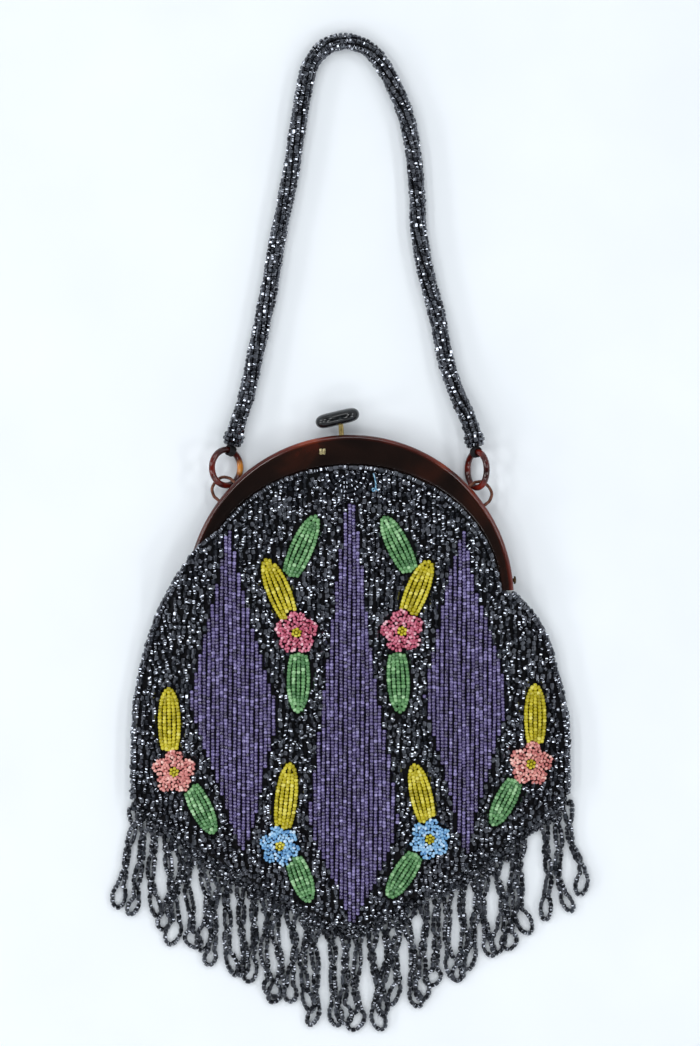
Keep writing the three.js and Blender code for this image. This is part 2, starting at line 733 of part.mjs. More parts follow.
const purse = new THREE.Group();
purse.add(piece('pouch_front', pouchFront(), FINISH.beadedCloth));
purse.add(piece('pouch_back', pouchBack(), FINISH.beadedCloth));
purse.add(piece('frame_front', frameFront(), FINISH.celluloid));
purse.add(piece('frame_back', frameBack(), FINISH.celluloid));
purse.add(piece('hinge_pin_left', hingePin(-1), FINISH.brass));
purse.add(piece('hinge_pin_right', hingePin(1), FINISH.brass));
HANGERS.forEach((hanger) => {
  purse.add(piece(`eye_${hanger.name}`, eyeWire(hanger), FINISH.bronzeWire));
  purse.add(piece(`ring_${hanger.name}`, ring(hanger), FINISH.ringCelluloid));
});
purse.add(piece('catch_rivet', catchRivet(), FINISH.brass));
purse.add(piece('clasp_stem', claspStem(), FINISH.brass));
purse.add(piece('clasp_knob', claspKnob(), FINISH.darkKnob));
purse.add(piece('handle', handle(), FINISH.beadStrings));
purse.add(piece('fringe', fringe(), FINISH.beadStrings));

export default purse;
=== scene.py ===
import math

import bmesh
import bpy
import numpy as np
from mathutils.bvhtree import BVHTree
from mathutils.kdtree import KDTree
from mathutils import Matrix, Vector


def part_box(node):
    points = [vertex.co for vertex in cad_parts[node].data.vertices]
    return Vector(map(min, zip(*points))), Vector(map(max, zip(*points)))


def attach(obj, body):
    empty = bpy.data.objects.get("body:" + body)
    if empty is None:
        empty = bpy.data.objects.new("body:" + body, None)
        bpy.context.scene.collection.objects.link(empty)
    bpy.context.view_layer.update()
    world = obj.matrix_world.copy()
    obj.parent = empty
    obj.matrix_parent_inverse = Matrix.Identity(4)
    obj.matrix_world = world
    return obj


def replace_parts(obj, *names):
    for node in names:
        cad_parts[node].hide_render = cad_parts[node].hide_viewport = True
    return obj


# A beaded evening purse that lies on its back. Sizes are in millimetres, in the purse's own frame: +X to the
# right as the front is seen, +Y from the hem to the handle, +Z up from the floor. Every bead is a shape of
# its own with its hole along its Y, and each lot of like beads is one joined mesh.

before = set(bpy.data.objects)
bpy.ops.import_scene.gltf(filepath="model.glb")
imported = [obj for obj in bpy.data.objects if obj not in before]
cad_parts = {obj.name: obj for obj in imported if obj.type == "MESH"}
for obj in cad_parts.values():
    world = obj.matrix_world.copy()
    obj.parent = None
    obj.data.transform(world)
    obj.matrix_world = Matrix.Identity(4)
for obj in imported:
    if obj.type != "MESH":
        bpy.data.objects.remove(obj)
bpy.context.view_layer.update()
rng = np.random.default_rng(1925)
MM = 0.001
UP = np.array([0.0, 0.0, 1.0])

# Frame and hinges, as in the solids
FRONT_RADIUS = 68.0
BACK_RADIUS = 65.0
ARM_ANGLE = 87.0
FACE_AT_TOP = 12.6
FACE_AT_ARM = 5.2
FRONT_FACE_Z = 11.2
FRONT_RIM_Z = 6.6
BACK_FACE_Z = 1.9
BACK_RIM_Z = 6.3
PLATE = 2.2
RIM = 2.4
RIM_ROUND = 1.8
LIP_WIDTH = 3.0
LIP_DROP = 1.3
GAP = 0.3
CROWN = 0.16
EDGE_CUT = 0.3
FRAME_STEPS = 117
HINGE_Y = 7.7
HINGE_Z = 6.9
HINGE_LUG = {"x": 66.3, "z": 6.2, "size": (2.0, 5.6, 2.6)}
HINGE_TONGUE = {"x": 63.45, "z": 7.05, "size": (1.5, 5.6, 3.1)}

# Turned pieces: rows of radius and place along the axis
HINGE_PROFILE = [
    (0.3, 60.5), (1.5, 60.5), (1.7, 60.7), (1.7, 61.3), (1.5, 61.5), (0.8, 61.5), (0.8, 68.0),
    (1.55, 68.0), (1.7, 68.15), (1.65, 68.5), (1.3, 68.85), (0.7, 69.0), (0.2, 69.0),
]
STEM_PROFILE = [(0.2, 64.6), (0.9, 64.6), (1.05, 64.75), (1.05, 70.6), (0.95, 75.0), (0.2, 75.0)]
RIVET_PROFILE = [(0.2, 8.0), (1.3, 8.0), (1.4, 8.1), (1.4, 8.7), (0.9, 8.7), (0.9, 11.45), (0.2, 11.45)]

# Clasp
CLASP_ANGLE = -3.0
CLASP_Z = 7.65
STEM_FOOT = (5.0, 1.2, 2.0)
STEM_FOOT_REACH = 64.55
KNOB_REACH = 75.1
KNOB_ACROSS = -1.3
KNOB_TILT = 13.5
KNOB_HALF = (9.25, 3.0, 5.0)
KNOB_RINGS, KNOB_SIDES = 23, 48
RIVET_XY = (-11.4, 61.0)
RIVET_PAD = (1.1, 2.5, 0.6)
RIVET_PAD_OUT = 0.66
RIVET_PAD_Z = 11.55

# Hangers: the eye's place on the rim and its droop, the ring's place and slope, and where the rope is tied
EYE_Z = 8.05
EYE_WIRE = 0.65
EYE_DROOPS_FROM, EYE_DROOPS_TO = 1.2, 5.9
# Half of an eye's wire: across from its middle, and out from the frame's rim
EYE_ROUTE = [(5, -3.3), (5, 0.5), (4.85, 2.66), (3.1, 5.19), (0, 5.9)]
RING_RADIUS = 7.4
RING_WIRE = 1.3
RING_LIFT = 0.1
HANGERS = {
    "left": {"side": -1, "eye": -49, "droop": 2, "angle": -43.4, "reach": 74.9, "turn": 39, "tie": 108},
    "right": {"side": 1, "eye": 51, "droop": 0.4, "angle": 44.6, "reach": 75.1, "turn": 59, "tie": 96},
}
TIE_TURNS = 5
TIE_SPREAD = 9
TIE_RADIUS = 1.85
TIE_THREAD = 0.42
TIE_NECK = 1.5
TIE_NECK_START = 1.2

# Cloth, with its outline as in the solids
CLOTH_WALL = 2.2
ARM_CORNER = (68.3, 2.3)
PAST_ARM = 0.4
LEFT_SEAM = [(-74.3, 5.3), (-80.5, -7.2), (-85.1, -21.3), (-88.8, -37.5), (-90.5, -55), (-90.9, -83)]
RIGHT_SEAM = [(73.5, -3), (81.3, -14.2), (85.5, -27.9), (88.8, -40.4), (90.9, -56.1), (91.2, -81)]
HEM = [(-62.3, -104.3), (-29.1, -124), (0, -136.5), (20.8, -127.4), (54, -109.3), (78.9, -90.2)]
LAP_START, LAP_END, LAP_REACH = -59.0, -78.0, 7.4
CLOTH_ROWS, CLOTH_COLUMNS = 81, 61
HEM_INSET, MOUTH_INSET, SEAM_INSET = 0.6, 0.4, 0.5
# Top and underside of each backing cloth, below the outer face of its solid
FRONT_CLOTH_DROPS = (1.55, 2.15)
BACK_CLOTH_DROPS = (0.05, 0.6)

# Handle: middle line of the rope between its ties
ROPE_ROUTE = [
    (-46.9, 72, 4.7), (-43.2, 83.3, 3.8), (-39.8, 99.1, 3.3), (-36.5, 114.8, 3.3), (-33.2, 131.4, 3.3),
    (-30.3, 148.9, 3.3), (-27, 164.6, 3.3), (-24.5, 177.9, 3.3), (-22.4, 192, 3.3), (-19.9, 207.8, 3.3),
    (-16.2, 222.2, 3.3), (-9.6, 229.8, 3.3), (-0.8, 231.6, 3.3), (7.5, 228.5, 3.3), (13.3, 222.3, 3.3),
    (18.7, 212, 3.3), (23.2, 201.2, 3.3), (26.1, 187, 3.3), (27.8, 169.6, 3.3), (28.6, 152.2, 3.3),
    (32, 133.9, 3.3), (36.5, 116.5, 3.3), (39.8, 99.1, 3.6), (44.4, 85, 4.4), (49.6, 73.5, 6.1),
]
ROPE_START = 1.0
ROPE_CORE = 1.75
ROPE_COLUMNS = 8
ROPE_RADIUS = 2.62
ROPE_COLUMN_START = 5.2
ROPE_COLUMN_SPARE = 9.0
# Rounds of beads at each end of the rope: distance from its end, and radius
COLLARS = [(0.9, 2.9), (2.6, 3.5), (4.3, 3.4)]

# Fringe: twisted double strands that end in loops, hung from a band just outside the hem
STRANDS = 36
LOST_STRAND = 32
BAND_OUT = 2.5
BAND_Z = 1.7
STRAND_TOP = 0.6
STRAND_LENGTH = 41.5
OUTER_LEAN, STRAY_LEAN = 11.0, 1.5
STRINGS_APART = 1.04
TWIST_DEPTH = 0.55
# Crossings of a strand's two strings: share of the way down, and the beat at which they stray from it
CROSSINGS = [(0.24, 3.1), (0.52, 2.2), (0.8, 1.3)]
CROSSING_STRAY = 0.08
CROSSING_HALF = 3.0
LOOP_WIDTH = 5.6
LOOP_HEIGHT = 8.4
LOOP_FROM, LOOP_TO = 112, 428
LOOP_DROP = 0.7
# Rows of beads along the band: distance out from its middle, height, and share of the places filled
HEM_ROWS = [
    (-2.3, 3.45, 1.0), (-1.6, 2.5, 1.0), (-0.75, 1.15, 1.0), (0.2, 2.3, 1.0), (0.75, 1.0, 0.9),
    (1.9, 2.0, 0.6), (3.8, 1.7, 0.3), (5.6, 1.5, 0.12),
]
# Rows further out than the first distance keep only the beads that have a strand within the second
CLEAR_OF_BAND = 1.0
NEAR_STRAND = 1.6

# Bead sizes, across and along the hole
CUT_BEAD = (1.95, 1.98)
MEDALLION_BEAD = (1.85, 2.3)
FRINGE_BEAD = (2.0, 1.95)
ROPE_BEAD = (2.0, 1.62)
SEED_BEAD = (1.74, 1.4)
LEAF_BEAD = (1.93, 1.58)
PETAL_BEAD = (1.5, 1.3)
MOST_UNEVEN = 0.14
FLOOR_GAP = 0.02

# Spacing of the beads along their strings
EDGE_PITCH = 1.05 * CUT_BEAD[1]
SEAM_PITCH = 1.03 * CUT_BEAD[1]
MEDALLION_PITCH = 1.04 * MEDALLION_BEAD[1]
LEAF_PITCH = 0.92 * LEAF_BEAD[1]
ROPE_PITCH = 1.07 * ROPE_BEAD[1]
COLLAR_PITCH = 1.02 * ROPE_BEAD[1]
STRAND_PITCH = 1.05 * FRINGE_BEAD[1]
HEM_PITCH = 0.98 * FRINGE_BEAD[1]

# Depth of the beads' middles below the outer face of the cloth's solid
GROUND_SINK = 0.88
MEDALLION_SINK = 0.5
DIAMOND_SINK = 0.75
LEAF_SINK = 0.7
PETAL_SINK = 0.55
CENTRE_SINK = 0.2
SEAM_SINK = 1.35

# Sewing: upright columns of beads, and the field that they are laid out over
GROUND_COLUMN, GROUND_ROW, GROUND_SIDE = 1.84, 2.04, 93
BACK_COLUMN, BACK_ROW, BACK_SIDE = 2.05, 2.35, 92
DIAMOND_COLUMN, DIAMOND_ROW = 1.8, 1.4
FIELD_BOTTOM, FIELD_HEIGHT = -140, 200
ODD_BEADS, ODD_SIDE = 30000, 94.0
GROUND_APART = 1.6
# Rows of beads down each side: how far in from the panel's edge, and the height of the two lower rows
FRONT_EDGE_IN = 0.3
SEAM_ROW = (0.55, 3.0)
BACK_EDGE_ROW = (0.6, 1.15)
BACK_BEAD_LIFT = 0.98

# Sewn pattern. A diamond by rows of height, left edge and right edge; a leaf by its free tip, its other end
# and its width; a flower by its middle, its radius, how many petals it has and the way the first one points
DIAMONDS = {
    "left": [
        (29.5, -51.4, -49.6), (18, -53.2, -47.2), (9, -54.9, -45.3), (-0.5, -57, -42.8), (-9.7, -59.2, -40.6),
        (-19.2, -61.6, -38), (-28.3, -64, -35.4), (-38, -66.2, -32), (-45, -66.4, -30.2), (-56, -62.8, -31.2),
        (-66, -59.2, -33.8), (-75, -56, -35.7), (-84, -53, -37.5), (-93.5, -49.6, -39.8), (-101, -47.4, -42),
        (-105, -45.6, -43.8),
    ],
    "centre": [
        (39.5, -1.8, 1.8), (30, -3.2, 3.4), (24.4, -3.9, 4.2), (12.3, -5.5, 5.7), (0.3, -6.7, 6.6),
        (-11.7, -8, 7.7), (-23.8, -9.4, 9.4), (-35.8, -10.9, 11.2), (-47.8, -12.4, 13.3),
        (-59.9, -13.8, 15.7), (-71.9, -15.2, 17.6), (-84, -16.8, 19.5), (-92, -17, 20.4), (-98, -15.6, 19.4),
        (-108, -11.4, 14.9), (-120, -5.9, 9.9), (-132, -1.4, 3.6), (-134.5, -0.2, 2),
    ],
    "right": [
        (28, 46.2, 48.2), (16, 42.6, 49.6), (7, 39.9, 51.4), (-2.6, 38.1, 54.8), (-11.7, 36.1, 58.2),
        (-21.3, 34.2, 61), (-30.4, 32, 63.4), (-40, 30.4, 65.1), (-49, 32.3, 64.3), (-58.2, 35, 61.6),
        (-67.8, 37.6, 59), (-76.9, 40, 56.6), (-86.4, 42.6, 53.4), (-95.6, 44.6, 51.4), (-104, 47, 49.8),
        (-107, 47.8, 49),
    ],
}
GREEN_LEAVES = [
    ((-13.6, 35.6), (-25.4, 8.6), 10.6), ((13.4, 35.2), (25.6, 10.4), 10.4),
    ((-21.6, -48.2), (-21.2, -21.6), 10.6), ((20.8, -48.4), (19.4, -21.4), 10.4),
    ((-56.2, -98.6), (-66.8, -76.8), 10.2), ((58.8, -95.2), (69.2, -74.4), 10.0),
    ((-16.4, -127.0), (-23.8, -106.6), 10.2), ((15.6, -125.2), (28.0, -105.2), 10.2),
]
YELLOW_LEAVES = [
    ((-35.4, 17.4), (-24.6, -9.0), 10.8), ((33.4, 17.0), (23.0, -8.4), 10.6),
    ((-75.4, -35.8), (-74.9, -64.2), 10.4), ((77.0, -34.4), (77.0, -61.4), 10.2),
    ((-24.6, -66.8), (-28.0, -96.4), 10.2), ((26.2, -67.2), (32.4, -93.8), 10.2),
]
CRIMSON_FLOWERS = [((-22.2, -14.0), 9.3, 5, 90), ((21.6, -13.4), 9.3, 5, 98)]
SALMON_FLOWERS = [((-73.0, -71.9), 9.4, 5, 90), ((75.1, -68.6), 9.4, 5, 84)]
BLUE_FLOWERS = [((-29.1, -102.6), 8.8, 6, 105), ((33.2, -99.7), 8.8, 6, 80)]
FLOWERS = CRIMSON_FLOWERS + SALMON_FLOWERS + BLUE_FLOWERS
# Width of a leaf along it, from its pointed free tip to the blunt end at the flower
LEAF_ALONG = (-1.0, -0.92, -0.76, -0.57, -0.18, 0.22, 0.61, 0.8, 1.0)
LEAF_WIDE = (0.12, 0.38, 0.62, 0.82, 0.98, 1.0, 0.92, 0.82, 0.68)
LEAF_ROWS = 5
LEAF_EDGE = 1.2
LEAF_APART = 1.2
PETAL_TRIES = 4000
PETAL_APART = 1.0
CENTRE_RADIUS = 1.5
CENTRE_CLEAR = 2.3
# Half rings of beads under the clasp: middle, radii, and how much they are flattened
MEDALLION_XY = (-2.0, 51.6)
MEDALLION_RADII = np.arange(1.6, 11.4, 2.0)
MEDALLION_FLAT = 0.92
MENDING_ROUTE = [
    (9.7, 52.0), (10.3, 49.8), (10.7, 47.2), (10.4, 45.2), (9.5, 44.6), (9.3, 45.6), (10.6, 45.6),
    (11.8, 44.7),
]
MENDING_THREAD = 0.27
MENDING_LIFT = 0.2

# Edges sharper than these angles stay sharp
PLAIN_CREASE = 40.0
FRAME_CREASE = 50.0
ROUND_BEAD_CREASE = 50.0
CUT_BEAD_CREASE = 20.0

# Camera: straight down, 0.415 mm to a pixel
IMAGE_ROWS = 1046
PIXEL = 0.415
VIEW_MIDDLE_Y = 31.4
CAMERA_HEIGHT = 2000.0
PURSE_MIDDLE_Z = 8.0

# Studio, in metres: strips in an arch over the purse, and one beyond each of its ends
BOARD_HALF, BOARD_Z = 2.0, -2e-5
LIGHT_COLOUR = "#fafdff"
ARCH_REACH = 1.5
ARCH_STRIPS = [(-64, 0.17), (-38, 0.15), (-15, 0.12), (21, 0.13), (48, 0.16)]
ARCH_ROWS = [("upper", 0.52), ("lower", -0.46)]
ARCH_LENGTH = 0.42
ARCH_POWER = 16.0
END_STRIPS = [("top_strip", 1.45), ("bottom_strip", -1.4)]
END_HEIGHT = 1.4
END_SIZE = (1.0, 0.3)
END_POWER = 5.0
ROOM_STRENGTH = 0.9


# Points and lines


def unit(vectors):
    return vectors / np.linalg.norm(vectors, axis=-1, keepdims=True)


def smoothstep(value, low, high):
    share = np.clip((np.asarray(value, float) - low) / (high - low), 0, 1)
    return share * share * (3 - 2 * share)


def ripple(along, *waves):
    """Sum of sine waves along a line, each by its height, its length for one radian, and its start."""
    return sum(height * np.sin(along / length + start) for height, length, start in waves)


def around(turn, across, high):
    """Spokes at given turns from one direction towards another."""
    return np.cos(turn)[:, None] * across + np.sin(turn)[:, None] * high


def spin(degrees):
    """Matrix that turns rows of points about Z."""
    turn = math.radians(degrees)
    return np.array([[math.cos(turn), math.sin(turn), 0], [-math.sin(turn), math.cos(turn), 0], [0, 0, 1]])


def polar(angle, radius, z=0.0):
    """A point by its angle from the top of the frame's arc and its distance from the arc's centre."""
    turn = np.radians(angle)
    return np.stack(np.broadcast_arrays(radius * np.sin(turn), radius * np.cos(turn), z), -1)


def smooth_line(rows, steps=16):
    """A curve through rows of points that passes each one along the chord of its neighbours."""
    points = np.asarray(rows, float)
    start, end = points[:-1, None], points[1:, None]
    leave = (end - np.vstack([points[:1], points[:-2]])[:, None]) / 2
    arrive = (np.vstack([points[2:], points[-1:]])[:, None] - start) / 2
    t = np.linspace(0, 1, steps, endpoint=False)[None, :, None]
    cubic = 2 * start - 2 * end + leave + arrive
    square = 3 * end - 3 * start - 2 * leave - arrive
    curve = cubic * t**3 + square * t**2 + leave * t + start
    return np.vstack([curve.reshape(-1, points.shape[1]), points[-1:]])


def run_of(line):
    """Distance along a line to each of its points."""
    return np.concatenate([[0.0], np.cumsum(np.linalg.norm(np.diff(line, axis=0), axis=1))])


def points_at(line, at):
    """Points at given distances along a line."""
    run = run_of(line)
    return np.stack([np.interp(at, run, line[:, i]) for i in range(line.shape[1])], -1)


def strung(line, pitch=0.0, count=0):
    """Middles and directions of beads strung end to end along a line."""
    total = run_of(line)[-1]
    count = count or max(1, round(total / pitch))
    at = (np.arange(count) + 0.5) * total / count
    reach = 0.4 * total / count
    return points_at(line, at), unit(points_at(line, at + reach) - points_at(line, at - reach))


def at_height(spots, z):
    """Flat spots with a height added: one for all of them or one for each."""
    return np.column_stack([spots, np.broadcast_to(z, len(spots))])


def beside(line, distance):
    """A line moved to its right-hand side: outwards from the hem, inwards from the mouth and the seams."""
    way = unit(np.gradient(line, axis=0))
    return line + distance * np.stack([way[:, 1], -way[:, 0]], 1)


def inside(points, outline):
    """How far inside a closed outline each point lies, below zero where it lies outside."""
    tiny = 1e-9
    start = np.asarray(outline, float)
    edge = np.roll(start, -1, axis=0) - start
    away = points[:, None] - start[None]
    share = np.clip((away * edge).sum(-1) / np.maximum((edge * edge).sum(-1), tiny), 0, 1)
    distance = np.linalg.norm(away - share[..., None] * edge, axis=-1).min(1)
    straddles = (away[..., 1] < 0) != (away[..., 1] < edge[:, 1])
    slope = np.where(edge[:, 1] == 0, tiny, edge[:, 1])
    left = away[..., 0] < edge[:, 0] * away[..., 1] / slope
    return np.where((straddles & left).sum(1) % 2 == 1, distance, -distance)


def outside_all(spots, shapes, margin):
    """True where a spot is clear of every shape by a margin."""
    clear = np.ones(len(spots), bool)
    for shape in shapes:
        clear &= inside(spots, shape) < -margin
    return clear


def far_from(spots, others, least):
    """True where a spot is no nearer than a distance to every other one."""
    tree = KDTree(len(others))
    for number, (x, y) in enumerate(others):
        tree.insert((x, y, 0.0), number)
    tree.balance()
    return np.array([tree.find((x, y, 0.0))[2] >= least for x, y in spots])


def keep_apart(points, least):
    """Numbers of the points that come no nearer than a distance to a kept one before them."""
    kept, cells = [], {}
    for number, (x, y) in enumerate(points):
        cell = (int(x // least), int(y // least))
        near = [
            other
            for across in (-1, 0, 1)
            for along in (-1, 0, 1)
            for other in cells.get((cell[0] + across, cell[1] + along), ())
        ]
        if all(math.hypot(x - points[other][0], y - points[other][1]) >= least for other in near):
            kept.append(number)
            cells.setdefault(cell, []).append(number)
    return np.array(kept, int)


# Outlines of the cloth


def face_inner(angle):
    """Distance from the arc's centre to the inner edge of the frame's face."""
    across = np.cos(np.radians(angle)) ** 2
    return FRONT_RADIUS - (FACE_AT_ARM + (FACE_AT_TOP - FACE_AT_ARM) * across)


def mouth_line(laps):
    """Edge of a panel along the frame, from left to right. The front one laps over the left arm."""
    end = ARM_ANGLE + PAST_ARM
    angle = np.linspace(LAP_END if laps else -end, end, 120)
    lap = LAP_REACH * (1 - smoothstep(angle, LAP_END, LAP_START)) if laps else 0
    return polar(angle, face_inner(angle) + lap)[:, :2]


def hem_line():
    """Lower edge of both panels, from the left seam to the right."""
    return smooth_line([LEFT_SEAM[-1], *HEM, RIGHT_SEAM[-1]])


def right_seam_line():
    """Right side of both panels, from the frame's arm down to the hem."""
    return smooth_line([ARM_CORNER, *RIGHT_SEAM])


def left_seam_line(laps):
    """Left side of a panel, from the hem up to the frame's arm."""
    start = [] if laps else [(-ARM_CORNER[0], ARM_CORNER[1])]
    return smooth_line([*start, *LEFT_SEAM])[::-1]


def panel_outline(laps):
    """Closed outline of a panel: mouth, right seam, hem and left seam."""
    hem = hem_line()[::-1]
    return np.vstack([mouth_line(laps), right_seam_line(), hem[1:-1], left_seam_line(laps)])


FRONT_OUTLINE = panel_outline(True)
BACK_OUTLINE = panel_outline(False)


# Meshes


def skin(rings, loop=False):
    """Corners and faces of a skin through equal rings of points, with flat ends unless it is a loop."""
    rings = np.asarray(rings, float)
    count, sides = rings.shape[:2]
    faces = []
    for ring in range(count if loop else count - 1):
        here, there = ring * sides, (ring + 1) % count * sides
        for side in range(sides):
            after = (side + 1) % sides
            faces.append((here + side, here + after, there + after, there + side))
    if not loop:
        faces.append(tuple(range(sides))[::-1])
        faces.append(tuple(range((count - 1) * sides, count * sides)))
    return rings.reshape(-1, 3), faces


def tube(line, radius, sides=14, upright=UP, loop=False):
    """A round bar along a line."""
    line = np.asarray(line, float)
    if loop:
        way = unit(np.roll(line, -1, axis=0) - np.roll(line, 1, axis=0))
    else:
        way = unit(np.gradient(line, axis=0))
    across = unit(np.cross(way, upright))
    high = np.cross(across, way)
    turn = np.linspace(0, 2 * np.pi, sides, endpoint=False)[None, :, None]
    spoke = np.cos(turn) * across[:, None] + np.sin(turn) * high[:, None]
    return skin(line[:, None] + radius * spoke, loop)


def turned(profile, place, axis, steps=24):
    """A turned piece: rows of radius and height along an axis that starts at a place."""
    axis = np.asarray(axis, float)
    helper = UP if abs(axis[2]) < 0.9 else np.array([1.0, 0.0, 0.0])
    across = unit(np.cross(axis, helper))
    high = np.cross(axis, across)
    spoke = around(np.linspace(0, 2 * np.pi, steps, endpoint=False), across, high)
    return skin([np.asarray(place) + height * axis + radius * spoke for radius, height in profile])


def block(middle, size, soften=0.3):
    """A small block with softened corners."""
    half = np.asarray(size, float) / 2
    rings = []
    for z, shrink in ((-half[2], soften), (soften - half[2], 0), (half[2] - soften, 0), (half[2], soften)):
        x, y = half[0] - shrink, half[1] - shrink
        short_x, short_y = x - soften, y - soften
        ring = [(short_x, y), (-short_x, y), (-x, short_y), (-x, -short_y)]
        ring += [(-short_x, -y), (short_x, -y), (x, -short_y), (x, short_y)]
        rings.append([(px + middle[0], py + middle[1], z + middle[2]) for px, py in ring])
    return skin(rings)


def together(*solids):
    """Several sets of corners and faces as one."""
    points, faces, start = [], [], 0
    for corners, rows in solids:
        points.append(corners)
        faces += [tuple(corner + start for corner in row) for row in rows]
        start += len(corners)
    return np.vstack(points), faces


def new_piece(name, solid, finish, body="purse", crease=PLAIN_CREASE, turn_out=True):
    """A piece of the purse from corners in millimetres and faces."""
    mesh = bpy.data.meshes.new(name)
    mesh.from_pydata((solid[0] * MM).tolist(), [], solid[1])
    if turn_out:
        shell = bmesh.new()
        shell.from_mesh(mesh)
        bmesh.ops.recalc_face_normals(shell, faces=shell.faces)
        shell.to_mesh(mesh)
        shell.free()
    mesh.shade_smooth()
    mesh.set_sharp_from_angle(angle=math.radians(crease))
    mesh.materials.append(finish)
    piece = bpy.data.objects.new(name, mesh)
    bpy.context.scene.collection.objects.link(piece)
    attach(piece, body)
    return piece


# Beads


def bead_shape(sides, profile):
    """A bead one unit across and one unit long, from rows of place along the hole and radius."""
    turn = np.linspace(0, 2 * np.pi, sides, endpoint=False)
    rings = [np.stack([r * np.cos(turn), np.full(sides, h), r * np.sin(turn)], 1) for h, r in profile]
    faces = []
    for ring in range(len(profile) - 1):
        for side in range(sides):
            a, b = ring * sides + side, ring * sides + (side + 1) % sides
            faces.append((a, a + sides, b + sides, b))
    faces.append(tuple(range(sides)))
    faces.append(tuple(range(len(profile) * sides - 1, (len(profile) - 1) * sides - 1, -1)))
    return np.vstack(rings), faces


CUT_SHAPE = bead_shape(6, [(-0.5, 0.39), (-0.22, 0.49), (0.22, 0.49), (0.5, 0.39)])
SEED_SHAPE = bead_shape(8, [(-0.5, 0.26), (-0.25, 0.46), (0.25, 0.46), (0.5, 0.26)])
PLAIN_SHAPE = bead_shape(6, [(-0.5, 0.5), (0.5, 0.5)])


def lay_beads(middles, along, up, size, roll=60.0, tilt=0.06, uneven=0.05):
    """Beads laid at given middles: their places, their axes scaled to size, and a tone for each."""
    count = len(middles)
    along = unit(unit(np.broadcast_to(along, (count, 3))) + tilt * rng.normal(size=(count, 3)))
    side = unit(np.cross(along, up))
    top = np.cross(side, along)
    turn = np.radians(roll) * (rng.random((count, 1)) - 0.5)
    across = np.cos(turn) * side + np.sin(turn) * top
    high = np.cos(turn) * top - np.sin(turn) * side
    grow = 1 + np.clip(uneven * rng.normal(size=(count, 2)), -MOST_UNEVEN, MOST_UNEVEN)
    wide, long = size[0] * grow[:, :1], size[1] * grow[:, 1:]
    return middles, np.stack([across * wide, along * long, high * wide], 1), rng.random(count)


def bead_piece(name, shape, lots, finish, crease=ROUND_BEAD_CREASE):
    """One joined mesh of laid beads, lifted clear of the floor, each with its own tone on its corners."""
    corners, faces = shape
    middles, axes, tones = (np.concatenate(part) for part in zip(*lots))
    points = middles[:, None] + np.einsum("vk,nkj->nvj", corners, axes)
    points[..., 2] += np.maximum(0, FLOOR_GAP - points[..., 2].min(1))[:, None]
    first = np.arange(len(middles))[:, None] * len(corners)
    rows = [row for face in faces for row in (first + np.array(face)[None]).tolist()]
    piece = new_piece(name, (points.reshape(-1, 3), rows), finish, crease=crease, turn_out=False)
    tone = piece.data.attributes.new("bead_tone", "FLOAT", "POINT")
    tone.data.foreach_set("value", np.repeat(tones, len(corners)).astype(np.float32))
    return piece


# Faces of the cloth


class Relief:
    """Height of a panel's upper face on an even grid, smoothed, with its normals."""

    CELL = 1.5
    MARGIN = 4.0
    ABOVE = 50.0
    SMOOTHINGS = 3

    def __init__(self, node):
        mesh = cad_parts[node].data
        corners = [corner.co[:] for corner in mesh.vertices]
        tree = BVHTree.FromPolygons(corners, [tuple(face.vertices) for face in mesh.polygons])
        low, high = (np.array(corner[:2]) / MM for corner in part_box(node))
        self.low = low - self.MARGIN
        columns, rows = np.ceil((high - low + 2 * self.MARGIN) / self.CELL).astype(int) + 1
        height = np.full((rows, columns), np.nan)
        for row in range(rows):
            for column in range(columns):
                x, y = (self.low + self.CELL * np.array([column, row])) * MM
                hit = tree.ray_cast((x, y, self.ABOVE * MM), (0, 0, -1))[0]
                if hit is not None:
                    height[row, column] = hit.z / MM
        height = self.spread(height)
        for _ in range(self.SMOOTHINGS):
            padded = np.pad(height, 1, mode="edge")
            height = (padded[:-2] + 2 * padded[1:-1] + padded[2:]) / 4
            height = (height[:, :-2] + 2 * height[:, 1:-1] + height[:, 2:]) / 4
        self.height = height
        self.slope_y, self.slope_x = np.gradient(height, self.CELL)

    @staticmethod
    def spread(height):
        """Carries the heights at the edge of the cloth outwards over the empty cells."""
        while np.isnan(height).any():
            known = np.pad(~np.isnan(height), 1).astype(float)
            value = np.pad(np.nan_to_num(height), 1)
            total = value[:-2, 1:-1] + value[2:, 1:-1] + value[1:-1, :-2] + value[1:-1, 2:]
            count = known[:-2, 1:-1] + known[2:, 1:-1] + known[1:-1, :-2] + known[1:-1, 2:]
            height = np.where(np.isnan(height) & (count > 0), total / np.maximum(count, 1), height)
        return height

    def at(self, spots):
        """Height and normal at each spot."""
        last = np.array(self.height.shape[::-1]) - 1.001
        place = np.clip((spots - self.low) / self.CELL, 0, last)
        column, row = place.astype(int).T
        u, v = (place - place.astype(int)).T

        def between(grid):
            lower = grid[row, column] * (1 - u) + grid[row, column + 1] * u
            upper = grid[row + 1, column] * (1 - u) + grid[row + 1, column + 1] * u
            return lower * (1 - v) + upper * v

        normal = np.stack([-between(self.slope_x), -between(self.slope_y), np.ones(len(spots))], 1)
        return between(self.height), unit(normal)


front_face = Relief("pouch_front")
back_face = Relief("pouch_back")


def on_front(spots, ways, size, sink, **how):
    """Beads sewn to the front panel, their middles a given depth below its outer face."""
    height, normal = front_face.at(spots)
    ways = at_height(np.broadcast_to(ways, spots.shape), 0)
    ways = ways - normal * (ways * normal).sum(1, keepdims=True)
    return lay_beads(at_height(spots, height) - normal * sink, ways, normal, size, **how)


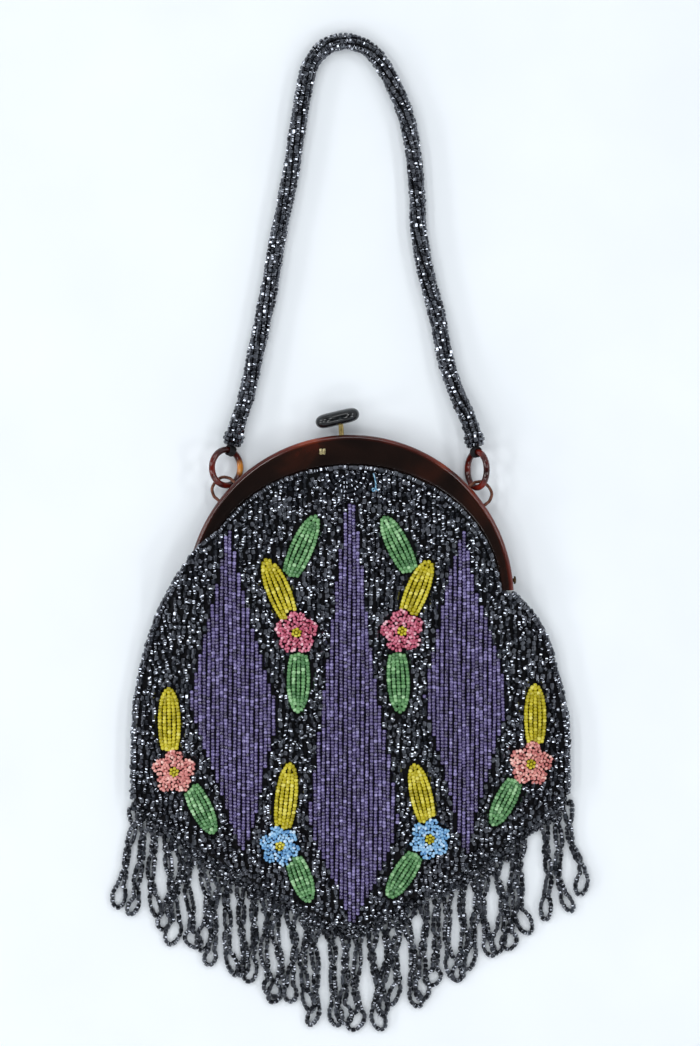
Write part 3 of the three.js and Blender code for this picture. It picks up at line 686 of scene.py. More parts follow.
def cloth_sheet(outline, relief, drops):
    """The backing cloth of a panel: rows of points between its two edges, closed top and bottom."""
    rows = np.linspace(outline[:, 1].min() + HEM_INSET, outline[:, 1].max() - MOUTH_INSET, CLOTH_ROWS)
    after = np.roll(outline, -1, axis=0)
    spots = []
    for y in rows:
        crosses = (outline[:, 1] > y) != (after[:, 1] > y)
        a, b = outline[crosses], after[crosses]
        x = a[:, 0] + (y - a[:, 1]) / (b[:, 1] - a[:, 1]) * (b[:, 0] - a[:, 0])
        inset = min(SEAM_INSET, (x.max() - x.min()) * 0.2)
        x = np.linspace(x.min() + inset, x.max() - inset, CLOTH_COLUMNS)
        spots.append(np.column_stack([x, np.full(CLOTH_COLUMNS, y)]))
    spots = np.array(spots)
    height = relief.at(spots.reshape(-1, 2))[0].reshape(CLOTH_ROWS, CLOTH_COLUMNS)
    over, under = (np.dstack([spots, height - drop]) for drop in drops)
    return skin([np.vstack([o, u[::-1]]) for o, u in zip(over, under)])


# Materials


def linear(colour):
    """An sRGB hex colour as linear red, green, blue and alpha."""
    parts = [int(colour[i : i + 2], 16) / 255 for i in (1, 3, 5)]
    return [part / 12.92 if part <= 0.04045 else ((part + 0.055) / 1.055) ** 2.4 for part in parts] + [1.0]


# A wave texture's own repeat at scale 1
WAVE_REPEAT = math.pi / 10


def per_mm(size):
    """Scale of a pattern whose repeat is a size in millimetres."""
    return 1 / (size * MM)


def add_node(tree, kind, sockets=None, links=None, stops=(), **settings):
    """Adds a node with its settings, socket values, colour stops and links."""
    node = tree.nodes.new("ShaderNode" + kind)
    for name, value in settings.items():
        setattr(node, name, value)
    for name, value in (sockets or {}).items():
        node.inputs[name].default_value = value
    for name, source in (links or {}).items():
        tree.links.new(source, node.inputs[name])
    if stops:
        ramp = node.color_ramp.elements
        while len(ramp) < len(stops):
            ramp.new(1.0)
        for element, (place, colour) in zip(ramp, stops):
            element.position = place
            element.color = linear(colour)
    return node


def new_material(name, sockets):
    """A material with constant values on its shader; then its nodes, its shader and the place of a point."""
    material = bpy.data.materials.new(name)
    material.use_nodes = True
    tree = material.node_tree
    shader = tree.nodes["Principled BSDF"]
    for socket, value in sockets.items():
        shader.inputs[socket].default_value = value
    return material, tree, shader, {"Vector": add_node(tree, "TexCoord").outputs["Object"]}


def glass_bead(name, stops, roughness, ior=1.52, lustre="#ffffff", cloud=0.25):
    """Small glass beads of one batch: each bead a little lighter or darker, with a faint cloud inside."""
    sockets = {"Roughness": roughness, "IOR": ior, "Specular Tint": linear(lustre)}
    material, tree, shader, place = new_material(name, sockets)
    tone = add_node(tree, "Attribute", attribute_name="bead_tone")
    noise = add_node(tree, "TexNoise", {"Scale": per_mm(1.1), "Detail": 2.0}, place)
    cloudy = add_node(
        tree, "MapRange", {"To Min": -cloud, "To Max": cloud}, {"Value": noise.outputs["Fac"]}
    )
    total = add_node(
        tree, "Math", links={0: tone.outputs["Fac"], 1: cloudy.outputs["Result"]}, operation="ADD"
    )
    colour = add_node(tree, "ValToRGB", links={"Fac": total.outputs["Value"]}, stops=stops)
    tree.links.new(colour.outputs["Color"], shader.inputs["Base Color"])
    return material


# Pressed black glass with a blue-grey metallic lustre, cut to six flats: near black, with hard pale flashes.
# The lustre throws back more light than bare glass, so the IOR is set above that of glass
GUNMETAL_LUSTRE = "#ebf1ff"
gunmetal_glass = glass_bead(
    "gunmetal_cut_glass", [(0.0, "#08090b"), (0.5, "#111216"), (0.85, "#202227"), (1.0, "#3a3e44")],
    0.09, ior=2.22, lustre=GUNMETAL_LUSTRE,
)
# The same glass in the fringe, its colours painted darker than the ground's as painted shade, and with softer
# flashes
fringe_glass_painted_darker = glass_bead(
    "gunmetal_glass_painted_darker", [(0.0, "#08090b"), (0.5, "#101115"), (0.85, "#1d1f24"), (1.0, "#363a40")],
    0.1, ior=1.85, lustre=GUNMETAL_LUSTRE,
)
# The same glass on the unseen back, dulled by lying on tables: dark grey with a broad soft shine
back_glass = glass_bead(
    "gunmetal_rubbed_glass", [(0.0, "#0c0d0f"), (0.7, "#1b1c20"), (1.0, "#33353b")], 0.3, ior=1.7
)
# Opaque purple seed glass, drawn and tumbled round: soft small highlights
purple_glass = glass_bead(
    "purple_seed_glass", [(0.0, "#2b2146"), (0.4, "#423666"), (0.8, "#5b4f84"), (1.0, "#8a80b4")],
    0.2, ior=1.9,
)
# Opaque leaf-green seed glass, tumbled round: an even colour with a small shine
green_glass = glass_bead(
    "green_seed_glass", [(0.0, "#38683a"), (0.4, "#528550"), (0.8, "#70a36a"), (1.0, "#a2cc9a")],
    0.17, ior=1.6,
)
# Opaque greenish-yellow seed glass, tumbled round: an even colour with a small shine
yellow_glass = glass_bead(
    "yellow_seed_glass", [(0.0, "#988b08"), (0.4, "#b8aa16"), (0.8, "#cec032"), (1.0, "#e0d668")], 0.2
)
# Half-clear crimson seed glass: pale where light is caught inside a bead
crimson_glass = glass_bead(
    "crimson_seed_glass", [(0.0, "#962e46"), (0.4, "#c05873"), (0.8, "#d88096"), (1.0, "#f4c4ce")],
    0.12, ior=1.7, cloud=0.45,
)
# Half-clear salmon-pink seed glass: milky, with a glossy skin
salmon_glass = glass_bead(
    "salmon_seed_glass", [(0.0, "#b2605c"), (0.4, "#d48882"), (0.8, "#e6a69c"), (1.0, "#f6ccc2")],
    0.14, ior=1.6, cloud=0.4,
)
# Half-clear pale blue seed glass: milky, with a glossy skin
blue_glass = glass_bead(
    "blue_seed_glass", [(0.0, "#4a82b8"), (0.4, "#7aaed6"), (0.8, "#98c4e6"), (1.0, "#cce2f4")],
    0.14, ior=1.6, cloud=0.4,
)


def black_cotton():
    """Plain-woven black cotton: matt, with threads 1.8 mm apart, coarser than real so that they show."""
    sockets = {"Roughness": 0.92, "Specular IOR Level": 0.2}
    material, tree, shader, place = new_material("black_cotton_plain_weave", sockets)
    threads = {"Scale": per_mm(1.776) * WAVE_REPEAT, "Distortion": 0.6}
    warp = add_node(tree, "TexWave", threads, place, bands_direction="X")
    weft = add_node(tree, "TexWave", threads, place, bands_direction="Y")
    weave = add_node(
        tree, "Math", links={0: warp.outputs["Fac"], 1: weft.outputs["Fac"]}, operation="MAXIMUM"
    )
    colour = add_node(
        tree, "ValToRGB", links={"Fac": weave.outputs["Value"]}, stops=[(0.0, "#050506"), (1.0, "#0d0c10")]
    )
    bump = add_node(
        tree, "Bump", {"Strength": 0.5, "Distance": 0.2 * MM}, {"Height": weave.outputs["Value"]}
    )
    tree.links.new(colour.outputs["Color"], shader.inputs["Base Color"])
    tree.links.new(bump.outputs["Normal"], shader.inputs["Normal"])
    return material


def twisted_thread(name, dark, light):
    """Twisted cotton thread: a slanting lay of about 1 mm and a dull sheen."""
    material, tree, shader, place = new_material(name, {"Roughness": 0.75, "Specular IOR Level": 0.3})
    twist = add_node(
        tree, "TexWave", {"Scale": per_mm(0.9865) * WAVE_REPEAT, "Distortion": 1.0}, place,
        bands_direction="DIAGONAL",
    )
    colour = add_node(
        tree, "ValToRGB", links={"Fac": twist.outputs["Fac"]}, stops=[(0.0, dark), (1.0, light)]
    )
    tree.links.new(colour.outputs["Color"], shader.inputs["Base Color"])
    return material


def tortoiseshell_celluloid():
    """Polished celluloid, moulded and buffed: near-black brown in the thick, with red painted on the narrow
    outer rim as painted light, the glow of light shining through the clear edge.
    """
    material, tree, shader, place = new_material("tortoiseshell_celluloid_polished", {"IOR": 1.5})
    clouds = add_node(tree, "TexNoise", {"Scale": per_mm(24.0), "Detail": 3.0, "Distortion": 0.8}, place)
    thick = add_node(
        tree, "ValToRGB", links={"Fac": clouds.outputs["Fac"]},
        stops=[(0.3, "#0f0806"), (0.5, "#1a0e0a"), (0.66, "#2b140d"), (0.8, "#4a1a10")],
    )
    # Red of the rim: painted light, standing for light that shines through the clear celluloid at its edge
    rim_glow_colour = add_node(
        tree, "ValToRGB", links={"Fac": clouds.outputs["Fac"]},
        stops=[(0.35, "#3a130d"), (0.55, "#621d12"), (0.7, "#8a3417")],
    )
    flat = add_node(
        tree, "VectorMath", {1: (1.0, 1.0, 0.0)}, {0: place["Vector"]}, operation="MULTIPLY"
    )
    reach = add_node(tree, "VectorMath", links={0: flat.outputs["Vector"]}, operation="LENGTH")
    # Mask of the painted rim glow: none where the rim starts, full near the outer edge
    rim_starts, rim_glow_full = 65.8 * MM, 67.4 * MM
    rim = add_node(
        tree, "MapRange", {"From Min": rim_starts, "From Max": rim_glow_full},
        {"Value": reach.outputs["Value"]},
    )
    colour = add_node(
        tree, "MixRGB", links={"Fac": rim.outputs["Result"], "Color1": thick.outputs["Color"],
                               "Color2": rim_glow_colour.outputs["Color"]},
    )
    scratches = add_node(tree, "TexNoise", {"Scale": per_mm(0.8), "Detail": 4.0}, place)
    rough = add_node(
        tree, "MapRange", {"To Min": 0.08, "To Max": 0.2}, {"Value": scratches.outputs["Fac"]}
    )
    tree.links.new(colour.outputs["Color"], shader.inputs["Base Color"])
    tree.links.new(rough.outputs["Result"], shader.inputs["Roughness"])
    return material


def amber_celluloid():
    """Clear red-brown celluloid rod bent to rings and buffed: glossy, with an amber patch on the left one."""
    sockets = {"IOR": 1.5, "Roughness": 0.1}
    material, tree, shader, place = new_material("amber_celluloid_polished", sockets)
    clouds = add_node(tree, "TexNoise", {"Scale": per_mm(7.0), "Detail": 2.0}, place)
    red = add_node(
        tree, "ValToRGB", links={"Fac": clouds.outputs["Fac"]},
        stops=[(0.3, "#1a0706"), (0.5, "#410f0b"), (0.7, "#701d12")],
    )
    amber = add_node(
        tree, "ValToRGB", links={"Fac": clouds.outputs["Fac"]}, stops=[(0.35, "#b25a1c"), (0.65, "#ea9d42")]
    )
    patch_middle = tuple(MM * part for part in (-45.4, 54.4, 3.2))
    patch_edge, patch_core = 3.6 * MM, 1.2 * MM
    away = add_node(tree, "VectorMath", {1: patch_middle}, {0: place["Vector"]}, operation="DISTANCE")
    patch = add_node(
        tree, "MapRange", {"From Min": patch_edge, "From Max": patch_core}, {"Value": away.outputs["Value"]}
    )
    colour = add_node(
        tree, "MixRGB", links={"Fac": patch.outputs["Result"], "Color1": red.outputs["Color"],
                               "Color2": amber.outputs["Color"]},
    )
    tree.links.new(colour.outputs["Color"], shader.inputs["Base Color"])
    return material


def worn_dark_celluloid():
    """Moulded near-black celluloid handled for years: glossy, with the polish rubbed to a mottled grey."""
    material, tree, shader, place = new_material("dark_celluloid_worn", {"IOR": 1.5})
    rubs = add_node(tree, "TexNoise", {"Scale": per_mm(3.2), "Detail": 5.0, "Roughness": 0.65}, place)
    colour = add_node(
        tree, "ValToRGB", links={"Fac": rubs.outputs["Fac"]},
        stops=[(0.32, "#07080a"), (0.54, "#101214"), (0.72, "#2b3034")],
    )
    rough = add_node(tree, "MapRange", {"To Min": 0.04, "To Max": 0.3}, {"Value": rubs.outputs["Fac"]})
    bump = add_node(tree, "Bump", {"Strength": 0.12, "Distance": 0.1 * MM}, {"Height": rubs.outputs["Fac"]})
    tree.links.new(colour.outputs["Color"], shader.inputs["Base Color"])
    tree.links.new(rough.outputs["Result"], shader.inputs["Roughness"])
    tree.links.new(bump.outputs["Normal"], shader.inputs["Normal"])
    return material


def old_metal(name, stops, roughness):
    """Turned, stamped or drawn metal with a patchy tarnish: shiny in places, dull in others."""
    material, tree, shader, place = new_material(name, {"Metallic": 1.0})
    tarnish = add_node(tree, "TexNoise", {"Scale": per_mm(1.6), "Detail": 4.0}, place)
    colour = add_node(tree, "ValToRGB", links={"Fac": tarnish.outputs["Fac"]}, stops=stops)
    rough = add_node(
        tree, "MapRange", {"To Min": roughness - 0.1, "To Max": roughness + 0.15},
        {"Value": tarnish.outputs["Fac"]},
    )
    tree.links.new(colour.outputs["Color"], shader.inputs["Base Color"])
    tree.links.new(rough.outputs["Result"], shader.inputs["Roughness"])
    return material


def white_board():
    """Matt white studio board, its tone barely uneven."""
    sockets = {"Roughness": 0.9, "Specular IOR Level": 0.1}
    material, tree, shader, place = new_material("white_board_matt", sockets)
    clouds = add_node(tree, "TexNoise", {"Scale": per_mm(60.0), "Detail": 2.0}, place)
    colour = add_node(
        tree, "ValToRGB", links={"Fac": clouds.outputs["Fac"]}, stops=[(0.3, "#eff3f7"), (0.7, "#f3f7fb")]
    )
    tree.links.new(colour.outputs["Color"], shader.inputs["Base Color"])
    return material


cotton = black_cotton()
black_thread = twisted_thread("black_waxed_thread", "#080709", "#1a181b")
repair_thread = twisted_thread("pale_blue_cotton_thread", "#3f7597", "#9cc4dc")
celluloid = tortoiseshell_celluloid()
ring_celluloid = amber_celluloid()
knob_celluloid = worn_dark_celluloid()
pale_brass = old_metal("pale_brass_stamped", [(0.3, "#7d724f"), (0.55, "#aba07a"), (0.75, "#cfc6a4")], 0.3)
brass = old_metal("aged_brass_turned", [(0.3, "#83703f"), (0.55, "#aa9662"), (0.75, "#cdbd90")], 0.3)
dull_brass = old_metal(
    "tarnished_brass_turned", [(0.3, "#2c2114"), (0.55, "#463620"), (0.75, "#69542f")], 0.45
)
wire_bronze = old_metal(
    "tarnished_bronze_wire", [(0.3, "#4a2c22"), (0.6, "#7a5244"), (0.8, "#a37c68")], 0.4
)


# Sewn pattern


def leaf_half_width(share, width):
    """Half the width of a leaf at a share of its half length."""
    return width / 2 * np.interp(share, LEAF_ALONG, LEAF_WIDE)


def leaf_frame(leaf):
    """Middle of a leaf, the way along it, the way across it and half its length."""
    start, end = np.asarray(leaf[0], float), np.asarray(leaf[1], float)
    way = unit(end - start)
    return (start + end) / 2, way, np.array([-way[1], way[0]]), np.linalg.norm(end - start) / 2


def leaf_outline(leaf):
    """Closed outline of a leaf."""
    middle, way, across, reach = leaf_frame(leaf)
    steps = 30
    share = np.concatenate([np.linspace(-1, 1, steps), np.linspace(1, -1, steps)[1:-1]])
    side = np.concatenate([np.full(steps, -1.0), np.full(steps - 2, 1.0)])
    wide = side * leaf_half_width(share, leaf[2])
    return middle + (reach * share)[:, None] * way + wide[:, None] * across


def flower_outline(flower):
    """Closed outline round a flower's petals, with a notch between each two."""
    middle, radius, petals, first = flower
    notch, roundness = 0.28, 0.75
    turn = np.linspace(0, 2 * np.pi, 20 * petals, endpoint=False)
    petal = np.abs(np.cos(petals / 2 * (turn - math.radians(first)))) ** roundness
    lobed = radius * (1 - notch + notch * petal)
    return np.asarray(middle) + lobed[:, None] * np.stack([np.cos(turn), np.sin(turn)], 1)


def diamond_outline(rows):
    """Closed outline of a diamond: down its left side and up its right."""
    rows = np.asarray(rows, float)
    return np.vstack([rows[:, [1, 0]], rows[::-1, [2, 0]]])


leaf_shapes = [leaf_outline(leaf) for leaf in GREEN_LEAVES + YELLOW_LEAVES]
flower_shapes = [flower_outline(flower) for flower in FLOWERS]
diamond_shapes = {name: diamond_outline(rows) for name, rows in DIAMONDS.items()}


def leaf_beads(leaf):
    """Rows of beads along a leaf that close in on its two ends."""
    middle, way, across, reach = leaf_frame(leaf)
    stagger, short_of_tip, tip_gap = 0.04, 0.07, 0.5
    spots, ways = [], []
    for row in np.linspace(-1, 1, LEAF_ROWS):
        share = np.linspace(-1 + stagger * rng.random(), 1, 40) * (0.985 - short_of_tip * abs(row))
        wide = row * np.clip(leaf_half_width(share, leaf[2]) - LEAF_EDGE, 0, None)
        line = middle + ((reach - tip_gap) * share)[:, None] * way + wide[:, None] * across
        middles, directions = strung(line, LEAF_PITCH)
        spots.append(middles)
        ways.append(directions)
    spots, ways = np.vstack(spots), np.vstack(ways)
    kept = keep_apart(spots, LEAF_APART)
    spots, ways = spots[kept], ways[kept]
    clear = outside_all(spots, flower_shapes, 0.2)
    return on_front(spots[clear], ways[clear], LEAF_BEAD, LEAF_SINK, tilt=0.07)


def flower_beads(flower):
    """Petals packed with short strings of beads that run outwards, raised a little and uneven."""
    middle, radius = np.asarray(flower[0]), flower[1]
    edge, stray, raised = 0.45, 0.45, 0.55
    spots = middle + radius * (2 * rng.random((PETAL_TRIES, 2)) - 1)
    out = spots - middle
    reach = np.linalg.norm(out, axis=1)
    good = (inside(spots, flower_outline(flower)) > edge) & (reach > CENTRE_CLEAR)
    spots, out = spots[good], out[good]
    kept = keep_apart(spots, PETAL_APART)
    ways = unit(out[kept]) + stray * rng.normal(size=(len(kept), 2))
    lift = raised * rng.random((len(kept), 1))
    return on_front(spots[kept], ways, PETAL_BEAD, PETAL_SINK - lift, tilt=0.25, uneven=0.1)


def flower_centre(flower):
    """A knot of seven beads at the middle of a flower."""
    turn = np.radians(np.arange(6) * 60 + 20)
    ring = CENTRE_RADIUS * np.stack([np.cos(turn), np.sin(turn)], 1)
    spots = np.asarray(flower[0]) + np.vstack([[[0, 0]], ring])
    ways = np.vstack([[[1, 0]], np.stack([-np.sin(turn), np.cos(turn)], 1)])
    return on_front(spots, ways, PETAL_BEAD, CENTRE_SINK, tilt=0.15)


def purple_spots(outline):
    """Upright columns of spots, close together, that end at the sides of a diamond."""
    first_column, edge, clear = 0.6, 0.35, 0.6
    spots = []
    low, high = outline.min(0), outline.max(0)
    for x in np.arange(low[0] + first_column, high[0], DIAMOND_COLUMN):
        y = np.arange(low[1] + DIAMOND_ROW * rng.random(), high[1], DIAMOND_ROW)
        spots.append(np.column_stack([x + ripple(y, (0.16, 13, 0.7 * x), (0.1, 4.1, 1.9 * x)), y]))
    spots = np.vstack(spots)
    return spots[(inside(spots, outline) > edge) & outside_all(spots, leaf_shapes + flower_shapes, clear)]


diamond_spots = {name: purple_spots(outline) for name, outline in diamond_shapes.items()}


def medallion_rings():
    """Half rings of beads under the clasp, one inside another: middles and directions."""
    x, y = MEDALLION_XY
    turn = np.radians(np.linspace(176, 364, 40))
    rings = []
    for radius in MEDALLION_RADII:
        line = np.column_stack([x + radius * np.cos(turn), y + radius * MEDALLION_FLAT * np.sin(turn)])
        rings.append(strung(line, MEDALLION_PITCH))
    spots, ways = (np.vstack(part) for part in zip(*rings))
    clear = inside(spots, FRONT_OUTLINE) > 0.9
    return spots[clear], ways[clear]


def black_field():
    """Cut beads of the ground: rows round the edges, upright columns between them, then beads in the gaps."""
    edge, clear_of_flowers, into_diamonds = 0.7, 0.45, 1.6
    clear_of_seeds, clear_of_medallion = 1.5, 1.6
    spots, ways = [], []
    for line, inset in ((mouth_line(True), 1.0), (right_seam_line(), 1.2), (left_seam_line(True), 1.2)):
        middles, directions = strung(beside(line, inset), EDGE_PITCH)
        spots.append(middles + 0.12 * rng.normal(size=middles.shape))
        ways.append(directions)
    count = int(FIELD_HEIGHT / GROUND_ROW)
    for x in np.arange(-GROUND_SIDE, GROUND_SIDE, GROUND_COLUMN):
        y = FIELD_BOTTOM + (np.arange(count) + rng.random()) * GROUND_ROW + 0.1 * rng.normal(size=count)
        drift = ripple(y, (0.7, 17, 0.35 * x), (0.4, 5, 1.7 * x)) + 0.3 * rng.normal(size=count)
        spots.append(np.column_stack([x + drift, y]))
        ways.append(np.column_stack([0.24 * rng.normal(size=count), np.ones(count)]))
    odd = rng.random((ODD_BEADS, 2)) * np.array([2 * ODD_SIDE, FIELD_HEIGHT])
    spots.append(np.array([-ODD_SIDE, FIELD_BOTTOM]) + odd)
    ways.append(np.column_stack([0.45 * rng.normal(size=ODD_BEADS), np.ones(ODD_BEADS)]))
    spots, ways = np.vstack(spots), np.vstack(ways)
    good = inside(spots, FRONT_OUTLINE) > edge
    good &= outside_all(spots, leaf_shapes + flower_shapes, clear_of_flowers)
    good &= outside_all(spots, diamond_shapes.values(), -into_diamonds)
    spots, ways = spots[good], ways[good]
    ring_spots, ring_ways = medallion_rings()
    good = far_from(spots, np.vstack(list(diamond_spots.values())), clear_of_seeds)
    good &= far_from(spots, ring_spots, clear_of_medallion)
    spots, ways = spots[good], ways[good]
    kept = keep_apart(spots, GROUND_APART)
    field = on_front(spots[kept], ways[kept], CUT_BEAD, GROUND_SINK, tilt=0.13, uneven=0.07)
    return [field, on_front(ring_spots, ring_ways, MEDALLION_BEAD, MEDALLION_SINK, roll=30, tilt=0.04)]


# Edges, back, handle and fringe


def seam_beads():
    """Three rows of beads down each side: on the front panel's edge, on the seam and on the back panel."""
    mouth, right, left = mouth_line(True), right_seam_line(), left_seam_line(True)
    stray = np.array([0.22, 0.22, 0.1])
    lots = []
    for line, inset, z in (
        (np.vstack([mouth[-1:], right]), FRONT_EDGE_IN, None),
        (np.vstack([left, mouth[:1]]), FRONT_EDGE_IN, None),
        (right, *SEAM_ROW),
        (left, *SEAM_ROW),
        (right, *BACK_EDGE_ROW),
        (left_seam_line(False), *BACK_EDGE_ROW),
    ):
        middles, ways = strung(beside(line, inset), SEAM_PITCH)
        middles = at_height(middles, front_face.at(middles)[0] - SEAM_SINK if z is None else z)
        middles = middles + stray * rng.normal(size=middles.shape)
        lots.append(lay_beads(middles, at_height(ways, 0), UP, CUT_BEAD, tilt=0.25, uneven=0.08))
    return lots


def back_beads():
    """Plain upright columns of cut beads over the back panel."""
    edge = 1.3
    count = int(FIELD_HEIGHT / BACK_ROW)
    spots = []
    for x in np.arange(-BACK_SIDE, BACK_SIDE, BACK_COLUMN):
        y = FIELD_BOTTOM + (np.arange(count) + rng.random()) * BACK_ROW
        spots.append(np.column_stack([x + ripple(y, (0.3, 15, 0.4 * x)), y]))
    spots = np.vstack(spots)
    spots = spots[inside(spots, BACK_OUTLINE) > edge]
    middles = at_height(spots, back_face.at(spots)[0] - CLOTH_WALL + BACK_BEAD_LIFT)
    return lay_beads(middles, (0, 1.0, 0), UP, CUT_BEAD, tilt=0.03, uneven=0.03)


def ring_axes(hanger):
    """A ring's own axes: towards its high side, along the purse, and through the ring; then its centre."""
    turn = math.radians(hanger["turn"])
    high = np.array([hanger["side"] * math.cos(turn), 0.0, math.sin(turn)])
    along = np.array([0.0, 1.0, 0.0])
    centre = polar(hanger["angle"], hanger["reach"], RING_RADIUS * math.sin(turn) + RING_WIRE + RING_LIFT)
    return high, along, np.cross(high, along), centre


def ring_points(hanger, degrees, radius=RING_RADIUS):
    """Points round a ring, by their angle from its high side."""
    high, along, _, centre = ring_axes(hanger)
    return centre + radius * around(np.radians(np.atleast_1d(degrees)), high, along)


def rope_line():
    """Middle line of the rope from the left ring to the right."""
    reach = RING_RADIUS + RING_WIRE + ROPE_START
    start, end = (ring_points(hanger, hanger["tie"], reach) for hanger in HANGERS.values())
    return smooth_line(np.vstack([start, ROPE_ROUTE, end]), 20)


def rope_beads():
    """Columns of beads round the rope's core, slowly twisting, and wider rounds of beads at its two ends."""
    line = rope_line()
    total = run_of(line)[-1]
    count = int((total - ROPE_COLUMN_SPARE) / ROPE_PITCH)
    at = np.linspace(ROPE_COLUMN_START, total - ROPE_COLUMN_START, count)
    lots = []
    for column in range(ROPE_COLUMNS):
        slip = at + ripple(at, (0.3, 21, 1.7 * column)) + 0.08 * rng.normal(size=count)
        way = unit(points_at(line, slip + 1) - points_at(line, slip - 1))
        across = unit(np.cross(way, UP))
        turn = 2 * np.pi * column / ROPE_COLUMNS + at / 34 + ripple(at, (0.5, 37, 0), (0.1, 9, column))
        spoke = around(turn, across, np.cross(across, way))
        slack = ripple(at, (0.26, 6.5, 2.1 * column)) * ripple(at, (1.0, 23, column))
        radius = (ROPE_RADIUS + slack + 0.14 * rng.normal(size=count))[:, None]
        lots.append(lay_beads(points_at(line, slip) + radius * spoke, way, spoke, ROPE_BEAD, tilt=0.12))
    for from_end in (line, line[::-1]):
        for distance, radius in COLLARS:
            centre, beyond = points_at(from_end, np.array([distance, distance + 0.5]))
            axis = unit(beyond - centre)
            side = unit(np.cross(axis, UP))
            up = np.cross(side, axis)
            number = int(2 * np.pi * radius / COLLAR_PITCH)
            turn = (np.arange(number) + rng.random()) * 2 * np.pi / number
            spoke = around(turn, side, up)
            ways = around(turn, up, -side)
            lots.append(lay_beads(centre + radius * spoke, ways, spoke, ROPE_BEAD, tilt=0.08))
    return lots


def tie_threads(hanger):
    """Turns of waxed thread that hold the end of the rope on its ring."""
    _, _, through, centre = ring_axes(hanger)
    turns = []
    for shift in np.linspace(-TIE_SPREAD, TIE_SPREAD, TIE_TURNS):
        spot = ring_points(hanger, hanger["tie"] + shift)[0]
        out = unit(spot - centre)
        circle = spot + TIE_RADIUS * around(np.linspace(0, 2 * np.pi, 28, endpoint=False), out, through)
        turns.append(tube(circle, TIE_THREAD, 8, np.cross(out, through), loop=True))
    start = ring_points(hanger, hanger["tie"], RING_RADIUS + TIE_NECK_START)
    neck = points_at(rope_line() if hanger["side"] < 0 else rope_line()[::-1], np.array([0.0, 1.0, 2.0]))
    return together(*turns, tube(smooth_line(np.vstack([start, neck]), 6), TIE_NECK, 12))


def strand_line(head, number):
    """Both strings of a strand as one line: down one side of the twist, round the loop and up the other.

    Its length, lean and loop stray with its number, at beats that do not fall together.
    """
    outward = 2 * (number + 0.5) / STRANDS - 1
    lean = OUTER_LEAN * math.copysign(abs(outward) ** 7, outward) + STRAY_LEAN * math.sin(2.4 * number)
    length = STRAND_LENGTH + 2.2 * math.sin(1.7 * number + 1)
    tall = LOOP_HEIGHT * (1.26 + 0.24 * math.sin(3.3 * number + 0.5))
    wide = LOOP_WIDTH * (1.3 + 0.22 * math.sin(5.3 * number))
    across, upward, _ = spin(lean)
    down = -upward
    twisted = length - tall + STRAND_TOP
    s = np.linspace(STRAND_TOP, twisted, 30)
    free = smoothstep(s, 0, 9)
    sway = free * ripple(s, (1.0, 8.3, 1.9 * number), (0.6, 3.7, 2.7 * number))
    twist = np.full(len(s), np.pi)
    for cross, stray in CROSSINGS:
        middle = (cross + CROSSING_STRAY * math.sin(stray * number)) * twisted
        twist = twist - np.pi * (1 - smoothstep(s, middle - CROSSING_HALF, middle + CROSSING_HALF))
    spread = STRINGS_APART + ripple(s, (0.22, 4.7, 2 * number)) + 0.7 * (1 - smoothstep(s, 0, 8))

    def string(phase):
        middle = head + s[:, None] * down + sway[:, None] * across
        return middle + spread[:, None] * around(twist + phase, across, TWIST_DEPTH * UP)

    angle = np.radians(np.linspace(LOOP_FROM, LOOP_TO, 26))[:, None]
    cock = 0.34 * math.sin(4.1 * number)
    centre = head + (length - tall / 2) * down - LOOP_DROP * UP + sway[-1] * across
    half_wide, half_tall = (wide - FRINGE_BEAD[0]) / 2, (tall - FRINGE_BEAD[0]) / 2
    x, y = half_wide * np.cos(angle), half_tall * np.sin(angle)
    x = x - math.sin(cock) * (y - half_tall)
    rise = (0.7 + 0.9 * (number % 2)) * (y + half_tall) / (2 * half_tall)
    loop = centre + x * across - y * down + rise * UP
    return np.vstack([string(0.0), loop, string(np.pi)[::-1]])


def fringe_beads():
    """Twisted double strands with open loops, and rows of beads along the band that they hang from."""
    band = beside(hem_line(), BAND_OUT)
    heads = strung(at_height(band, BAND_Z), count=STRANDS)[0]
    stray, nearly_up = np.array([0.4, 0.4, 0.16]), (0.03, 0.02, 1.0)
    lots = []
    for number, head in enumerate(heads):
        if number == LOST_STRAND:
            continue
        middles, ways = strung(strand_line(head, number), STRAND_PITCH)
        lots.append(lay_beads(middles, ways, nearly_up, FRINGE_BEAD, tilt=0.1, uneven=0.07))
    strand_spots = np.vstack([middles[:, :2] for middles, _, _ in lots])
    for out, z, share in HEM_ROWS:
        ends = 1 + int(max(out, 0))
        middles = strung(at_height(beside(band, out), z), HEM_PITCH)[0][ends:-ends]
        middles = middles + stray * rng.normal(size=middles.shape)
        middles = middles[rng.random(len(middles)) < share]
        if out > CLEAR_OF_BAND:
            middles = middles[~far_from(middles[:, :2], strand_spots, NEAR_STRAND)]
        lots.append(lay_beads(middles, (0, 1.0, 0), UP, FRINGE_BEAD, tilt=0.3, uneven=0.08))
    return lots


# Frame, clasp and hangers


def frame_section(angle, outer, depth):
    """Section of a frame half: distance from the arc's centre, and depth inwards from its outer face."""
    inner = float(face_inner(angle))
    face = inner + GAP
    start = max(outer - RIM_ROUND, face + 0.7)
    rows = [(outer - RIM, depth), (outer - RIM, PLATE), (inner - LIP_WIDTH, PLATE)]
    rows += [(inner - LIP_WIDTH, LIP_DROP), (face, LIP_DROP)]
    rows += [(face, 0.45), (face + 0.15, 0.15), (face + 0.45, 0.0)]
    for share in (0.3, 0.5, 0.7, 0.85):
        rows.append((face + (start - face) * share, CROWN * math.sin(math.pi * share)))
    for degrees in range(0, 91, 15):
        turn = math.radians(degrees)
        rows.append((start + (outer - start) * math.sin(turn), RIM_ROUND * (1 - math.cos(turn))))
    return rows + [(outer, depth - EDGE_CUT), (outer - EDGE_CUT, depth)]


